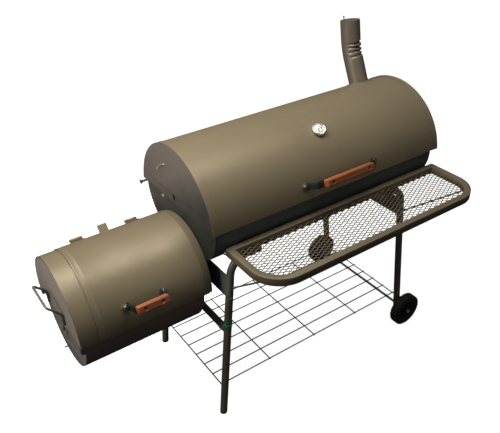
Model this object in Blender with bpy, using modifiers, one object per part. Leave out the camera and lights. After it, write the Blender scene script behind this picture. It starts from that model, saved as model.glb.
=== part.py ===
"""Offset smoker on a tube frame: cooking chamber with a hinged lid and flue, side firebox, front shelf,
bottom rack and two wheels. Metres, +Z up, the front faces -Y and the firebox is at -X."""

import math

import bmesh
import bpy
from mathutils import Matrix, Vector

# Row frame: the floor is z = 0, and the whole object's box is centred on x = 0, y = 0.
ROW_SHIFT = Vector((-0.2417, 0.0811, 0.0))

SHEET = 0.002
CLEAR = 0.0003

# Cooking chamber; its axis runs along X at y = 0.
AXIS_Z = 0.7313
LID_R = 0.2286
LID_LEN = 0.9556
LID_EDGE = AXIS_Z + 0.0271
CAP_FLANGE = 0.021
BODY_HALF = 0.2205
BODY_DEEP = 0.1705
BODY_Z = AXIS_Z + 0.015
BODY_X0 = 0.0103
BODY_X1 = 0.9260
BODY_EDGE = AXIS_Z + 0.034
LID_HINGE_Y = 0.2420
LID_HINGE_Z = AXIS_Z + 0.0040
LID_PIN_R = 0.0040
GRATE_Z = AXIS_Z - 0.022

# Firebox, butted against the chamber's left end plate.
FB_Z = AXIS_Z - 0.2000
FB_R = 0.1836
FB_X0 = -0.4286
FB_X1 = 0.0098
FB_EDGE = AXIS_Z - 0.2063
FB_INSET = 0.0103
FB_BODY_R = 0.1790
FB_LID_R = 0.1862
FB_LID_X0 = -0.3720
FB_LID_X1 = -0.0030
FB_BODY_X1 = -0.0200
FB_HINGE_DEG = 41.0
FB_HINGE_LIFT = 0.0105
FB_PIN_R = 0.0030
FB_GRATE_Z = FB_Z - 0.080

# Frame.
TUBE_R = 0.0130
LEG_X_FLOOR = -0.0028
LEG_LEAN = 0.1009
LEG_Y_FLOOR = 0.2205
LEG_Y_TOP = 0.2155
LEG_TOP_Z = AXIS_Z - 0.0850
LEG_BEND = 0.065
LEG_END_X = 0.170
LEG_BOLT_Y = 0.1850
FRAME_MID_X = 0.4307
WHEEL_R = 0.0675
WHEEL_IN = 0.2455
WHEEL_OUT = 0.2810
AXLE_X = 0.8575
AXLE_R = 0.0050
TIE_Z = AXIS_Z - 0.3636
CRADLE_TOP = AXIS_Z - 0.144
CRADLE_BOTTOM = AXIS_Z - 0.224
BAND_Z = AXIS_Z - 0.3340

# Shelf and bottom rack.
SHELF_Z = AXIS_Z - 0.0339
SHELF_X0 = 0.041
SHELF_X1 = 0.9455
SHELF_BACK = -0.2194
SHELF_FRONT = -0.4523
SHELF_CORNER = 0.105
RIM_W = 0.022
RIM_H = 0.026
RIM_BEVEL = 0.004
MESH_PITCH_X = 0.0850
MESH_PITCH_Y = 0.0388
MESH_STRAND = 0.0062
BRACE_R = 0.0030
BRACE_Y = -0.2336
BRACE_Z = AXIS_Z - 0.1810
RACK_Z = 0.1172
RACK_X0 = 0.0066
RACK_X1 = 0.8459
RACK_Y = 0.2034
RACK_WIRE = 0.0022
RACK_LONG = 8
RACK_CROSS = 5

# Flue.
FLUE_X = 0.8495
FLUE_DEG = 23.9
FLUE_TOP_DEG = 9.0
FLUE_R = 0.0360
FLUE_LOW = 0.1266
FLUE_UP = 0.0998

# Fittings on the chamber lid: the spit slot, its bolt and the thermometer.
SPIT_Y = 0.0095
SPIT_LOW = AXIS_Z + 0.0395
SPIT_HIGH = AXIS_Z + 0.0580
LID_BOLT_Y = 0.1060
LID_BOLT_Z = AXIS_Z + 0.1128
DIAL_X = 0.4761
DIAL_DEG = 31.54

# Handles: bolt positions are along X, and angles run from straight up towards the front.
GRIP = 0.0240
STRAP_T = 0.0025
STRAP_W = 0.0240
LID_HANDLE = {
    "hole0": 0.4179, "hole1": 0.5709, "end": 0.0230, "foot": 0.0709, "rise0": 0.0600, "rise1": 0.0450,
    "deg": 71.5, "face": 0.0590,
}
FB_HANDLE = {
    "hole0": -0.2437, "hole1": -0.1892, "end": 0.0230, "foot": 0.0345, "rise0": 0.0245, "rise1": 0.0245,
    "deg": 68.5, "face": 0.0790,
}

# Fittings on the firebox: the air vent, the lid's stop tab and the wire end handle.
VENT_Y = -0.0060
VENT_Z = AXIS_Z - 0.2360
VENT_STEP = 27.0
VENT_IN = 0.030
VENT_OUT = 0.080
VENT_HALF = 0.0055
VENT_EDGE = 0.106
STOP_X0 = -0.2165
STOP_X1 = -0.1845
STOP_DEG = 44.0
STOP_HIGH = 0.0308
END_GRIP_X = -0.4705

parts = None


def paint(name, rgb, metallic, roughness):
    made = bpy.data.materials.new(name)
    made.use_nodes = True
    shader = made.node_tree.nodes["Principled BSDF"]
    shader.inputs["Base Color"].default_value = (*rgb, 1.0)
    shader.inputs["Metallic"].default_value = metallic
    shader.inputs["Roughness"].default_value = roughness
    return made


def start_scene():
    for old in list(bpy.data.objects):
        bpy.data.objects.remove(old)
    made = bpy.data.collections.new("offset_smoker")
    bpy.context.scene.collection.children.link(made)
    return made


def add(name, data):
    ob = bpy.data.objects.new(name, data)
    parts.objects.link(ob)
    return ob


def bake(ob, smooth=True):
    """Turns an object with its modifiers into a plain mesh object in world coordinates."""
    bpy.context.view_layer.update()
    graph = bpy.context.evaluated_depsgraph_get()
    mesh = bpy.data.meshes.new_from_object(ob.evaluated_get(graph))
    mesh.transform(ob.matrix_world)
    name = ob.name
    bpy.data.objects.remove(ob)
    bm = bmesh.new()
    bm.from_mesh(mesh)
    bmesh.ops.remove_doubles(bm, verts=bm.verts, dist=1e-6)
    bmesh.ops.dissolve_degenerate(bm, edges=bm.edges, dist=1e-6)
    bmesh.ops.recalc_face_normals(bm, faces=bm.faces)
    bm.to_mesh(mesh)
    bm.free()
    mesh.materials.clear()
    made = add(name, mesh)
    for face in mesh.polygons:
        face.use_smooth = smooth
    mesh.set_sharp_from_angle(angle=math.radians(35))
    return made


def join(base, others, kind="UNION"):
    """Boolean of the base with each of the others, which are used up."""
    for other in others:
        mod = base.modifiers.new("join", "BOOLEAN")
        mod.solver = "EXACT"
        mod.operation = kind
        mod.object = other
        base = bake(base)
        bpy.data.objects.remove(other)
    return base


def cut(base, *others):
    return join(base, others, "DIFFERENCE")


def block(name, low, high, bevel=0.0):
    """Box between two corners."""
    low, high = Vector(low), Vector(high)
    mesh = bpy.data.meshes.new(name)
    bm = bmesh.new()
    bmesh.ops.create_cube(bm, size=1.0)
    bm.to_mesh(mesh)
    bm.free()
    mesh.transform(Matrix.Diagonal((*(high - low), 1.0)))
    ob = add(name, mesh)
    if bevel:
        mod = ob.modifiers.new("edges", "BEVEL")
        mod.width = bevel
        mod.segments = 1
    ob.matrix_world = Matrix.Translation((low + high) / 2)
    return bake(ob, smooth=False)


def rod(name, a, b, radius, sides=12):
    """Round bar from a to b."""
    a, b = Vector(a), Vector(b)
    mesh = bpy.data.meshes.new(name)
    bm = bmesh.new()
    bmesh.ops.create_cone(
        bm, cap_ends=True, segments=sides, radius1=radius, radius2=radius, depth=(b - a).length
    )
    bm.to_mesh(mesh)
    bm.free()
    ob = add(name, mesh)
    turn = (b - a).to_track_quat("Z", "Y").to_matrix().to_4x4()
    ob.matrix_world = Matrix.Translation((a + b) / 2) @ turn
    return bake(ob)


def pipe(name, points, radius, sides=12, radii=None, wall=None):
    """Tube along a line of points: solid with flat ends, or open with a wall thickness."""
    curve = bpy.data.curves.new(name, "CURVE")
    curve.dimensions = "3D"
    curve.bevel_depth = radius
    curve.bevel_resolution = (sides - 4) // 2
    curve.use_fill_caps = wall is None
    curve.twist_mode = "MINIMUM"
    line = curve.splines.new("POLY")
    line.points.add(len(points) - 1)
    for i, p in enumerate(points):
        line.points[i].co = (*p, 1.0)
        line.points[i].radius = radii[i] if radii else 1.0
    ob = bake(add(name, curve))
    if wall:
        mod = ob.modifiers.new("wall", "SOLIDIFY")
        mod.thickness = wall
        mod.offset = -1.0
        mod.use_even_offset = True
        ob = bake(ob)
    return ob


def plate(name, loops, thick, matrix):
    """Flat plate: the first loop is the outline and the rest are holes, in the plane of matrix's X and Y."""
    curve = bpy.data.curves.new(name, "CURVE")
    curve.dimensions = "2D"
    curve.fill_mode = "BOTH"
    curve.extrude = thick / 2
    for loop in loops:
        line = curve.splines.new("POLY")
        line.points.add(len(loop) - 1)
        for i, p in enumerate(loop):
            line.points[i].co = (p[0], p[1], 0.0, 1.0)
        line.use_cyclic_u = True
    ob = add(name, curve)
    ob.matrix_world = matrix
    return bake(ob, smooth=False)


def facing_x(x, z=0.0, y=0.0):
    """Plane across X at that height: local X is world Y and local Y is world Z."""
    turn = Matrix(((0, 0, 1, x), (1, 0, 0, y), (0, 1, 0, z), (0, 0, 0, 1)))
    return turn


def arc(radius, start, stop, steps, centre=(0.0, 0.0)):
    """Points from the start to the stop angle, in degrees from local X."""
    found = []
    for i in range(steps + 1):
        t = math.radians(start + (stop - start) * i / steps)
        found.append((centre[0] + radius * math.cos(t), centre[1] + radius * math.sin(t)))
    return found


def about_x(radius, degrees, axis_z, x=0.0):
    """Point at that angle from straight up, towards the front, round an axis along X."""
    t = math.radians(degrees)
    return Vector((x, -radius * math.sin(t), axis_z + radius * math.cos(t)))


def shell(name, radius, x0, x1, first, last, axis_z, steps, thick=SHEET):
    """Curved sheet round an axis along X, from the first to the last angle, with that outer radius."""
    outer = [(about_x(radius, first + (last - first) * i / steps, axis_z)) for i in range(steps + 1)]
    inner = [(about_x(radius - thick, last + (first - last) * i / steps, axis_z)) for i in range(steps + 1)]
    loop = [(p.y, p.z) for p in outer + inner]
    ob = plate(name, [loop], x1 - x0, facing_x((x0 + x1) / 2))
    for face in ob.data.polygons:
        face.use_smooth = True
    ob.data.set_sharp_from_angle(angle=math.radians(35))
    return ob


def lathe(name, profile, matrix, steps=32):
    """Closed or open profile of (radius, height) turned about matrix's Z."""
    mesh = bpy.data.meshes.new(name)
    points = [(r, 0.0, h) for r, h in profile]
    mesh.from_pydata(points, [(i, i + 1) for i in range(len(points) - 1)], [])
    ob = add(name, mesh)
    mod = ob.modifiers.new("turn", "SCREW")
    mod.axis = "Z"
    mod.steps = steps
    mod.render_steps = steps
    mod.use_merge_vertices = True
    mod.merge_threshold = 0.0001
    ob.matrix_world = matrix
    return bake(ob)


def ring(name, profile, matrix, steps=32):
    """Turned solid from a profile that closes on itself."""
    return lathe(name, list(profile) + [profile[0]], matrix, steps)


def out_of(point, direction):
    """Frame at a point with Z along the direction."""
    return Matrix.Translation(point) @ Vector(direction).to_track_quat("Z", "Y").to_matrix().to_4x4()


def finish_part(ob, slot, origin=None):
    """Gives the part its material and puts its origin at its joint."""
    ob.data.materials.clear()
    ob.data.materials.append(slot)
    if origin is not None:
        ob.data.transform(Matrix.Translation(-Vector(origin)))
        ob.location = Vector(origin)
    return ob


def half_loop(radius, axis_z, edge_z, above, steps=28):
    """Outline of a disc cut at edge_z, as (y, z) points: the part above or below the cut."""
    drop = edge_z - axis_z
    lean = math.degrees(math.asin(drop / radius))
    first, last = (lean, 180 - lean) if above else (180 - lean, 360 + lean)
    return arc(radius, first, last, steps, (0.0, axis_z))


def disc_angle(radius, axis_z, edge_z):
    """Angle from straight up at which a circle crosses the height edge_z."""
    return math.degrees(math.acos((edge_z - axis_z) / radius))


def box_loop(x0, x1, y0, y1):
    return [(x0, y0), (x1, y0), (x1, y1), (x0, y1)]


def slot_loop(y0, y1, half, lean=0.0, steps=6):
    """Upright rounded slot between two heights, leaning round its top."""
    low = arc(half, 180, 360, steps, (0.0, y0 + half))
    high = arc(half, 0, 180, steps, (0.0, y1 - half))
    turn = math.radians(lean)
    loop = []
    for a, b in low + high:
        loop.append((a * math.cos(turn) - b * math.sin(turn), a * math.sin(turn) + b * math.cos(turn)))
    return loop


def trough_arc(inset, steps, start=None):
    """Trough section below the split, as (y, z) points; start is the height of its ends."""
    half, deep = BODY_HALF - inset, BODY_DEEP - inset
    rise = math.degrees(math.asin(((start or BODY_EDGE) - BODY_Z) / deep))
    found = []
    for i in range(steps + 1):
        t = math.radians(180 - rise + (180 + 2 * rise) * i / steps)
        found.append((half * math.cos(t), BODY_Z + deep * math.sin(t)))
    return found


def build_chamber(dark, inner):
    """Lower trough with its two end plates, the lid's hinge rod and the cooking grates."""
    x0, x1 = BODY_X0 + SHEET + CLEAR, BODY_X1 - SHEET - CLEAR
    section = trough_arc(0.0, 34) + trough_arc(SHEET, 34)[::-1]
    trough = plate("chamber_shell", [section], x1 - x0, facing_x((x0 + x1) / 2))
    for side in (-1, 1):
        low = (x0 + 0.006, min(side * 0.2035, side * 0.2127), GRATE_Z - 0.0060)
        high = (x1 - 0.006, max(side * 0.2035, side * 0.2127), GRATE_Z - 0.0030)
        trough = join(trough, [block("rail", low, high)])
    finish_part(trough, dark)

    outline = trough_arc(0.0, 34)
    left = plate("chamber_left_end", [outline, flame_port()], SHEET, facing_x(BODY_X0 + SHEET / 2))
    right = plate("chamber_right_end", [outline], SHEET, facing_x(BODY_X1 - SHEET / 2))
    finish_part(left, dark)
    finish_part(right, dark)

    ends = (-0.0020, LID_HINGE_Y, LID_HINGE_Z), (LID_LEN + 0.0020, LID_HINGE_Y, LID_HINGE_Z)
    bar = rod("lid_hinge_rod", *ends, LID_PIN_R)
    for x in (0.19, 0.48, 0.77):
        low = (x - 0.012, BODY_HALF + 0.0003, LID_HINGE_Z - 0.0055)
        high = (x + 0.012, LID_HINGE_Y + 0.001, LID_HINGE_Z + 0.0055)
        bar = join(bar, [block("lug", low, high)])
    finish_part(bar, dark)

    middle = (x0 + x1) / 2
    half = 0.2040
    spans = (("left", x0 + 0.008, middle - 0.0015), ("right", middle + 0.0015, x1 - 0.008))
    for side, a, b in spans:
        grate = slotted("cooking_grate_" + side, a, b, half, GRATE_Z, 0.0050, 13)
        finish_part(grate, inner)


def slotted(name, x0, x1, half, z, thick, count):
    """Flat grate of bars across the depth, with a rib down the middle."""
    edge, rib = 0.009, 0.004
    pitch = (x1 - x0 - 2 * edge + rib) / count
    loops = [box_loop(x0, x1, -half, half)]
    for i in range(count):
        a = x0 + edge + i * pitch
        for low, high in ((-half + edge, -rib), (rib, half - edge)):
            loops.append(box_loop(a, a + pitch - rib, low, high))
    return plate(name, loops, thick, Matrix.Translation((0, 0, z)))


def flame_port():
    """Opening between the firebox and the chamber, as (y, z) points: a low arch over the trough's curve."""
    high, margin, half, steps = FB_R - 0.024, 0.018, 0.116, 12
    low = []
    over = []
    for i in range(steps + 1):
        y = half * (1 - 2 * i / steps)
        over.append((y, FB_Z + math.sqrt(high * high - y * y)))
        wide = (BODY_DEEP - margin) * math.sqrt(1 - (y / (BODY_HALF - margin)) ** 2)
        low.append((y, BODY_Z - wide))
    return over + low[::-1]


def build_lid(steel, dark, wood):
    """Chamber lid: skin, end caps, straps on the hinge rod and the wood handle."""
    edge = disc_angle(LID_R, AXIS_Z, LID_EDGE)
    pivot = (LID_LEN / 2, LID_HINGE_Y, LID_HINGE_Z)
    skin_r = LID_R - 0.0010
    skin = shell("chamber_lid_skin", skin_r, 0.0018, LID_LEN - 0.0018, -edge, edge, AXIS_Z, 34)
    flue_at = about_x(LID_R, -FLUE_DEG, AXIS_Z, FLUE_X)
    flue_way = about_x(1.0, -FLUE_DEG, 0.0)
    skin = cut(skin, rod("hole", flue_at - 0.03 * flue_way, flue_at + 0.03 * flue_way, FLUE_R + 0.0006, 24))
    dial_at = about_x(skin_r, DIAL_DEG, AXIS_Z, DIAL_X)
    dial_way = about_x(1.0, DIAL_DEG, 0.0)
    skin = cut(skin, rod("hole", dial_at - 0.02 * dial_way, dial_at + 0.02 * dial_way, 0.0046, 12))
    finish_part(skin, steel, pivot)

    cap_r = LID_R + 0.0005
    outline = half_loop(cap_r, AXIS_Z, LID_EDGE, True, 34)
    spit = [(y + SPIT_Y, z) for y, z in slot_loop(SPIT_LOW, SPIT_HIGH, 0.0035)]
    for side in ("left", "right"):
        loops = [outline, spit] if side == "left" else [outline]
        mid = 0.00075 if side == "left" else LID_LEN - 0.00075
        cap = plate("lid_cap_" + side, loops, 0.0015, facing_x(mid))
        if side == "left":
            low, high = (-0.0020, LID_BOLT_Y, LID_BOLT_Z), (0.0008, LID_BOLT_Y, LID_BOLT_Z)
            cap = join(cap, [rod("bolt", low, high, 0.0035, 8)])
        a, b = (0.0004, CAP_FLANGE) if side == "left" else (LID_LEN - CAP_FLANGE, LID_LEN - 0.0004)
        lean = disc_angle(cap_r, AXIS_Z, LID_EDGE)
        band = shell("band", cap_r - 0.0001, a, b, -lean, lean, AXIS_Z, 34, 0.0011)
        cap = join(cap, [band])
        finish_part(cap, steel, pivot)

    for side, x in (("left", 0.105), ("right", 0.850)):
        wrap_r = skin_r + CLEAR + 0.002
        strap = shell("lid_strap_" + side, wrap_r, x - 0.014, x + 0.014, -87.5, -74, AXIS_Z, 4)
        tongue_low = (x - 0.0138, wrap_r - 0.0015, LID_HINGE_Z - 0.001)
        tongue = block("tongue", tongue_low, (x + 0.0138, LID_HINGE_Y, LID_HINGE_Z + 0.0085))
        ends = (x - 0.014, LID_HINGE_Y, LID_HINGE_Z), (x + 0.014, LID_HINGE_Y, LID_HINGE_Z)
        eye = rod("eye", *ends, 0.0072, 16)
        strap = join(strap, [tongue, eye])
        hole = (x - 0.03, LID_HINGE_Y, LID_HINGE_Z), (x + 0.03, LID_HINGE_Y, LID_HINGE_Z)
        strap = cut(strap, rod("hole", *hole, LID_PIN_R + 0.0003, 16))
        finish_part(strap, dark, pivot)

    handle("lid_handle", LID_HANDLE, AXIS_Z, skin_r, dark, wood, pivot)


def handle(name, size, axis_z, radius, steel, wood, pivot):
    """Wood grip on two bent straps; each strap has its bolt head and a screw into the wood."""
    t = math.radians(size["deg"])
    away = Vector((0, -math.sin(t), math.cos(t)))
    along = Vector((0, math.cos(t), math.sin(t)))
    base = Vector((0, 0, axis_z)) + radius * away
    # Local X is world X, local Y points away from the lid, and local Z runs up the lid.
    frame = Matrix.Translation(base) @ Matrix((
        (1, 0, 0, 0), (0, away.y, along.y, 0), (0, away.z, along.z, 0), (0, 0, 0, 1)))
    back = size["face"] - GRIP
    top = back - CLEAR
    mid = (size["hole0"] + size["hole1"]) / 2
    for side, sign, hole in (("left", -1, size["hole0"]), ("right", 1, size["hole1"])):
        foot = hole + sign * size["foot"]
        rise0 = hole + sign * size["rise0"]
        rise1 = hole + sign * size["rise1"]
        tip = hole - sign * 0.010
        far = foot + sign * 0.011
        skew = STRAP_T * 1.05
        loop = [
            (far, 0.0006), (rise0, 0.0006), (rise1, top - STRAP_T), (tip, top - STRAP_T),
            (tip, top), (rise1 + sign * skew * 0.7, top), (rise0 + sign * skew, 0.0006 + STRAP_T),
            (far, 0.0006 + STRAP_T),
        ]
        strap = plate(name + "_bracket_" + side, [loop], STRAP_W, frame)
        head = frame @ Vector((foot, 0.0025, 0)), frame @ Vector((foot, 0.0072, 0))
        screw = frame @ Vector((hole, top - 0.0055, 0)), frame @ Vector((hole, top - 0.0010, 0))
        strap = join(strap, [rod("head", *head, 0.0062, 10), rod("screw", *screw, 0.0052, 8)])
        finish_part(strap, steel, pivot)
    half = (size["hole1"] - size["hole0"]) / 2 + size["end"]
    low = Vector((mid - half, back, -GRIP / 2))
    high = Vector((mid + half, back + GRIP, GRIP / 2))
    grip = block(name + "_grip", low, high, 0.0035)
    grip.matrix_world = frame
    grip = bake(grip, smooth=False)
    for hole in (size["hole0"], size["hole1"]):
        a = frame @ Vector((hole, back + GRIP * 0.45, 0))
        b = frame @ Vector((hole, back + GRIP * 1.4, 0))
        grip = cut(grip, rod("hole", a, b, 0.0042, 10))
    finish_part(grip, wood, pivot)


def build_dial(zinc, face, needle, glass):
    """Thermometer on the lid: cup, dial face, needle, lens and the stem through the lid."""
    away = about_x(1.0, DIAL_DEG, 0.0)
    base = about_x(LID_R - 0.0010, DIAL_DEG, AXIS_Z, DIAL_X)
    frame = out_of(base, away)
    pivot = (LID_LEN / 2, LID_HINGE_Y, LID_HINGE_Z)
    cup = [
        (0, 0.0035), (0.0212, 0.0035), (0.0212, 0.0096), (0.0232, 0.0100), (0.0245, 0.0084),
        (0.0245, 0.0018), (0, 0.0018),
    ]
    finish_part(lathe("thermometer_bezel", cup, frame, 28), zinc, pivot)
    flat = [(0, 0.0048), (0.0208, 0.0048), (0.0208, 0.0038), (0, 0.0038)]
    finish_part(lathe("thermometer_dial", flat, frame, 28), face, pivot)
    pane = [(0, 0.0092), (0.0208, 0.0092), (0.0208, 0.0078), (0, 0.0078)]
    finish_part(lathe("thermometer_lens", pane, frame, 28), glass, pivot)
    tip, tail = 0.0165, 0.0060
    shape = [
        (tip, 0.0004), (0.004, 0.0011), (0.0, 0.0022), (-tail, 0.0011), (-tail, -0.0011),
        (0.0, -0.0022), (0.004, -0.0011), (tip, -0.0004),
    ]
    turn = Matrix.Rotation(math.radians(-120), 4, "Z")
    hand = plate("thermometer_needle", [shape], 0.0006, frame @ turn @ Matrix.Translation((0, 0, 0.0058)))
    finish_part(hand, needle, frame @ Vector((0, 0, 0.0058)))
    low = frame @ Vector((0, 0, -0.060)), frame @ Vector((0, 0, 0.0015))
    nut = frame @ Vector((0, 0, -0.0075)), frame @ Vector((0, 0, -0.0026))
    stem = join(rod("thermometer_stem", *low, 0.0030, 10), [rod("nut", *nut, 0.0080, 6)])
    finish_part(stem, zinc, pivot)


def build_flue(steel):
    """Crimped elbow pipe on the lid, its collar, and the cap that swings on a pin at the rim."""
    pivot = (LID_LEN / 2, LID_HINGE_Y, LID_HINGE_Z)
    low_way = about_x(1.0, -FLUE_DEG, 0.0)
    top_way = about_x(1.0, -FLUE_TOP_DEG, 0.0)
    base = about_x(LID_R, -FLUE_DEG, AXIS_Z, FLUE_X)
    bend = base + FLUE_LOW * low_way
    top = bend + FLUE_UP * top_way
    points, radii = [base - 0.0055 * low_way], [1.0]
    reach, steps = 0.036, 8
    a, c = bend - reach * low_way, bend + reach * top_way
    for i in range(steps + 1):
        s = i / steps
        points.append((1 - s) ** 2 * a + 2 * s * (1 - s) * bend + s * s * c)
        radii.append(0.955 if i % 2 and i < steps else 1.0)
    points.append(top)
    radii.append(1.0)
    tube = pipe("flue_pipe", points, FLUE_R, 20, radii, 0.0014)
    frame = out_of(top, top_way)
    side = (top_way.cross(Vector((1, 0, 0)))).normalized()
    cross = Matrix.Translation(top) @ Matrix((
        (1, side.x, top_way.x, 0), (0, side.y, top_way.y, 0), (0, side.z, top_way.z, 0), (0, 0, 0, 1)))
    pin_x = -0.0292
    lug = block("lug", (-0.0352, -0.005, -0.013), (-0.0245, 0.005, -0.009))
    lug.matrix_world = cross
    lug = bake(lug, smooth=False)
    tube = join(tube, [lug])
    pin_low, pin_high = cross @ Vector((pin_x, 0, -0.016)), cross @ Vector((pin_x, 0, 0.017))
    tube = cut(tube, rod("hole", pin_low, pin_high, 0.0021, 10))
    finish_part(tube, steel, pivot)

    patch_r = LID_R - 0.0010 + CLEAR + 0.0018
    sides, angles = (FLUE_X - 0.050, FLUE_X + 0.050), (-FLUE_DEG - 14, -FLUE_DEG + 14)
    patch = shell("flue_collar", patch_r, *sides, *angles, AXIS_Z, 10, 0.0018)
    reach_out = (base - 0.05 * low_way, base + 0.05 * low_way)
    patch = join(patch, [rod("round", *reach_out, FLUE_R + 0.009, 28)], "INTERSECT")
    patch = cut(patch, rod("hole", *reach_out, FLUE_R + CLEAR, 28))
    finish_part(patch, steel, pivot)

    cap = [(0, 0.0016), (FLUE_R, 0.0016), (FLUE_R, CLEAR), (0, CLEAR)]
    lid = lathe("flue_cap", cap, cross, 24)
    stem = rod("stem", pin_low, pin_high, 0.0018, 10)
    knob = rod("knob", cross @ Vector((pin_x, 0, 0.0150)), cross @ Vector((pin_x, 0, 0.0205)), 0.0034, 10)
    lid = join(lid, [stem, knob])
    finish_part(lid, steel, cross @ Vector((pin_x, 0, 0.0)))


def build_firebox(steel, dark, inner, grey):
    """Firebox trough and end plates, the fixed hood over it, and the charcoal grate."""
    edge = disc_angle(FB_BODY_R, FB_Z, FB_EDGE + 0.010)
    x0 = FB_X0 + FB_INSET
    a, b = x0 + SHEET + CLEAR, FB_BODY_X1 - SHEET - CLEAR
    trough = shell("firebox_shell", FB_BODY_R, a, b, edge, 360 - edge, FB_Z, 28)
    for side in (-1, 1):
        low = (a + 0.006, min(side * 0.144, side * 0.1568), FB_GRATE_Z - 0.0060)
        high = (b - 0.006, max(side * 0.144, side * 0.1568), FB_GRATE_Z - 0.0030)
        trough = join(trough, [block("rail", low, high)])
    finish_part(trough, dark)

    outline = half_loop(FB_BODY_R, FB_Z, FB_EDGE + 0.010, False, 32)
    slots = []
    for lean in (-VENT_STEP, 0, VENT_STEP):
        slots.append(vent_slot(lean))
    left = plate("firebox_left_end", [outline] + slots, SHEET, facing_x(x0 + SHEET / 2))
    hub = rod("hub", (x0 + 0.001, VENT_Y, VENT_Z), (x0 - 0.0045, VENT_Y, VENT_Z), 0.0030, 12)
    head = rod("head", (x0 - 0.0021, VENT_Y, VENT_Z), (x0 - 0.0045, VENT_Y, VENT_Z), 0.0065, 12)
    ends = (x0 + 0.001, -0.0783, VENT_Z - 0.046), (x0 - 0.0015, -0.0783, VENT_Z - 0.046)
    rivet = rod("rivet", *ends, 0.0030, 8)
    left = join(left, [hub, head, rivet])
    finish_part(left, grey)

    split = FB_EDGE + 0.0080
    upper = half_loop(FB_BODY_R, FB_Z, split, True, 32)
    right = plate("firebox_right_end", [upper, flame_port()], SHEET, facing_x(FB_X1 - SHEET / 2))
    lower = plate("lower", [half_loop(FB_BODY_R, FB_Z, split + 0.001, False, 32)], SHEET,
                  facing_x(FB_BODY_X1 - SHEET / 2))
    low, high = (FB_BODY_X1 - 0.0015, -0.1770, split - 0.001), (FB_X1 - 0.0005, 0.1770, split + 0.001)
    ledge = block("ledge", low, high)
    right = join(right, [ledge, lower])
    finish_part(right, dark)

    lean = disc_angle(FB_R, FB_Z, FB_EDGE)
    hood = shell("firebox_hood", FB_R, FB_X0 + 0.0005, FB_X1 - 0.0024, -lean, lean, FB_Z, 36)
    sides = (FB_LID_X0 + 0.010, FB_LID_X1 - 0.010)
    window = shell("window", FB_R + 0.02, *sides, -FB_HINGE_DEG, lean + 8, FB_Z, 24, 0.05)
    hood = cut(hood, window)
    disc = plate("disc", [half_loop(FB_R - 0.0005, FB_Z, FB_EDGE + 0.0004, True, 36)], SHEET,
                 facing_x(FB_X0 + SHEET / 2))
    hood = join(hood, [disc])
    finish_part(hood, steel)

    grate = slotted("charcoal_grate", a + 0.008, b - 0.008, 0.1520, FB_GRATE_Z, 0.0050, 12)
    finish_part(grate, inner)


def vent_slot(lean):
    """Rounded slot hanging below the vent's pivot, leaning by that many degrees, as (y, z) points."""
    loop = slot_loop(-VENT_OUT, -VENT_IN, VENT_HALF, lean, 5)
    return [(y + VENT_Y, z + VENT_Z) for y, z in loop]


def build_vent(grey):
    """Fan-shaped damper over the firebox's three air slots, with its pin."""
    x0 = FB_X0 + FB_INSET
    fan = arc(VENT_EDGE, 270 - 43, 270 + 43, 12, (VENT_Y, VENT_Z)) + arc(0.013, 40, 140, 6, (VENT_Y, VENT_Z))
    loops = [fan, arc(0.0034, 0, 360, 14, (VENT_Y, VENT_Z))[:-1]]
    for lean in (-VENT_STEP, 0, VENT_STEP):
        loops.append(vent_slot(lean))
    damper = plate("air_vent", loops, 0.0015, facing_x(x0 - CLEAR - 0.00075))
    low = (x0 - 0.0010, VENT_Y, VENT_Z - 0.0975)
    pin = rod("pin", low, (x0 - 0.0190, VENT_Y, VENT_Z - 0.0975), 0.0021, 8)
    damper = join(damper, [pin])
    finish_part(damper, grey, (x0, VENT_Y, VENT_Z))


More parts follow.
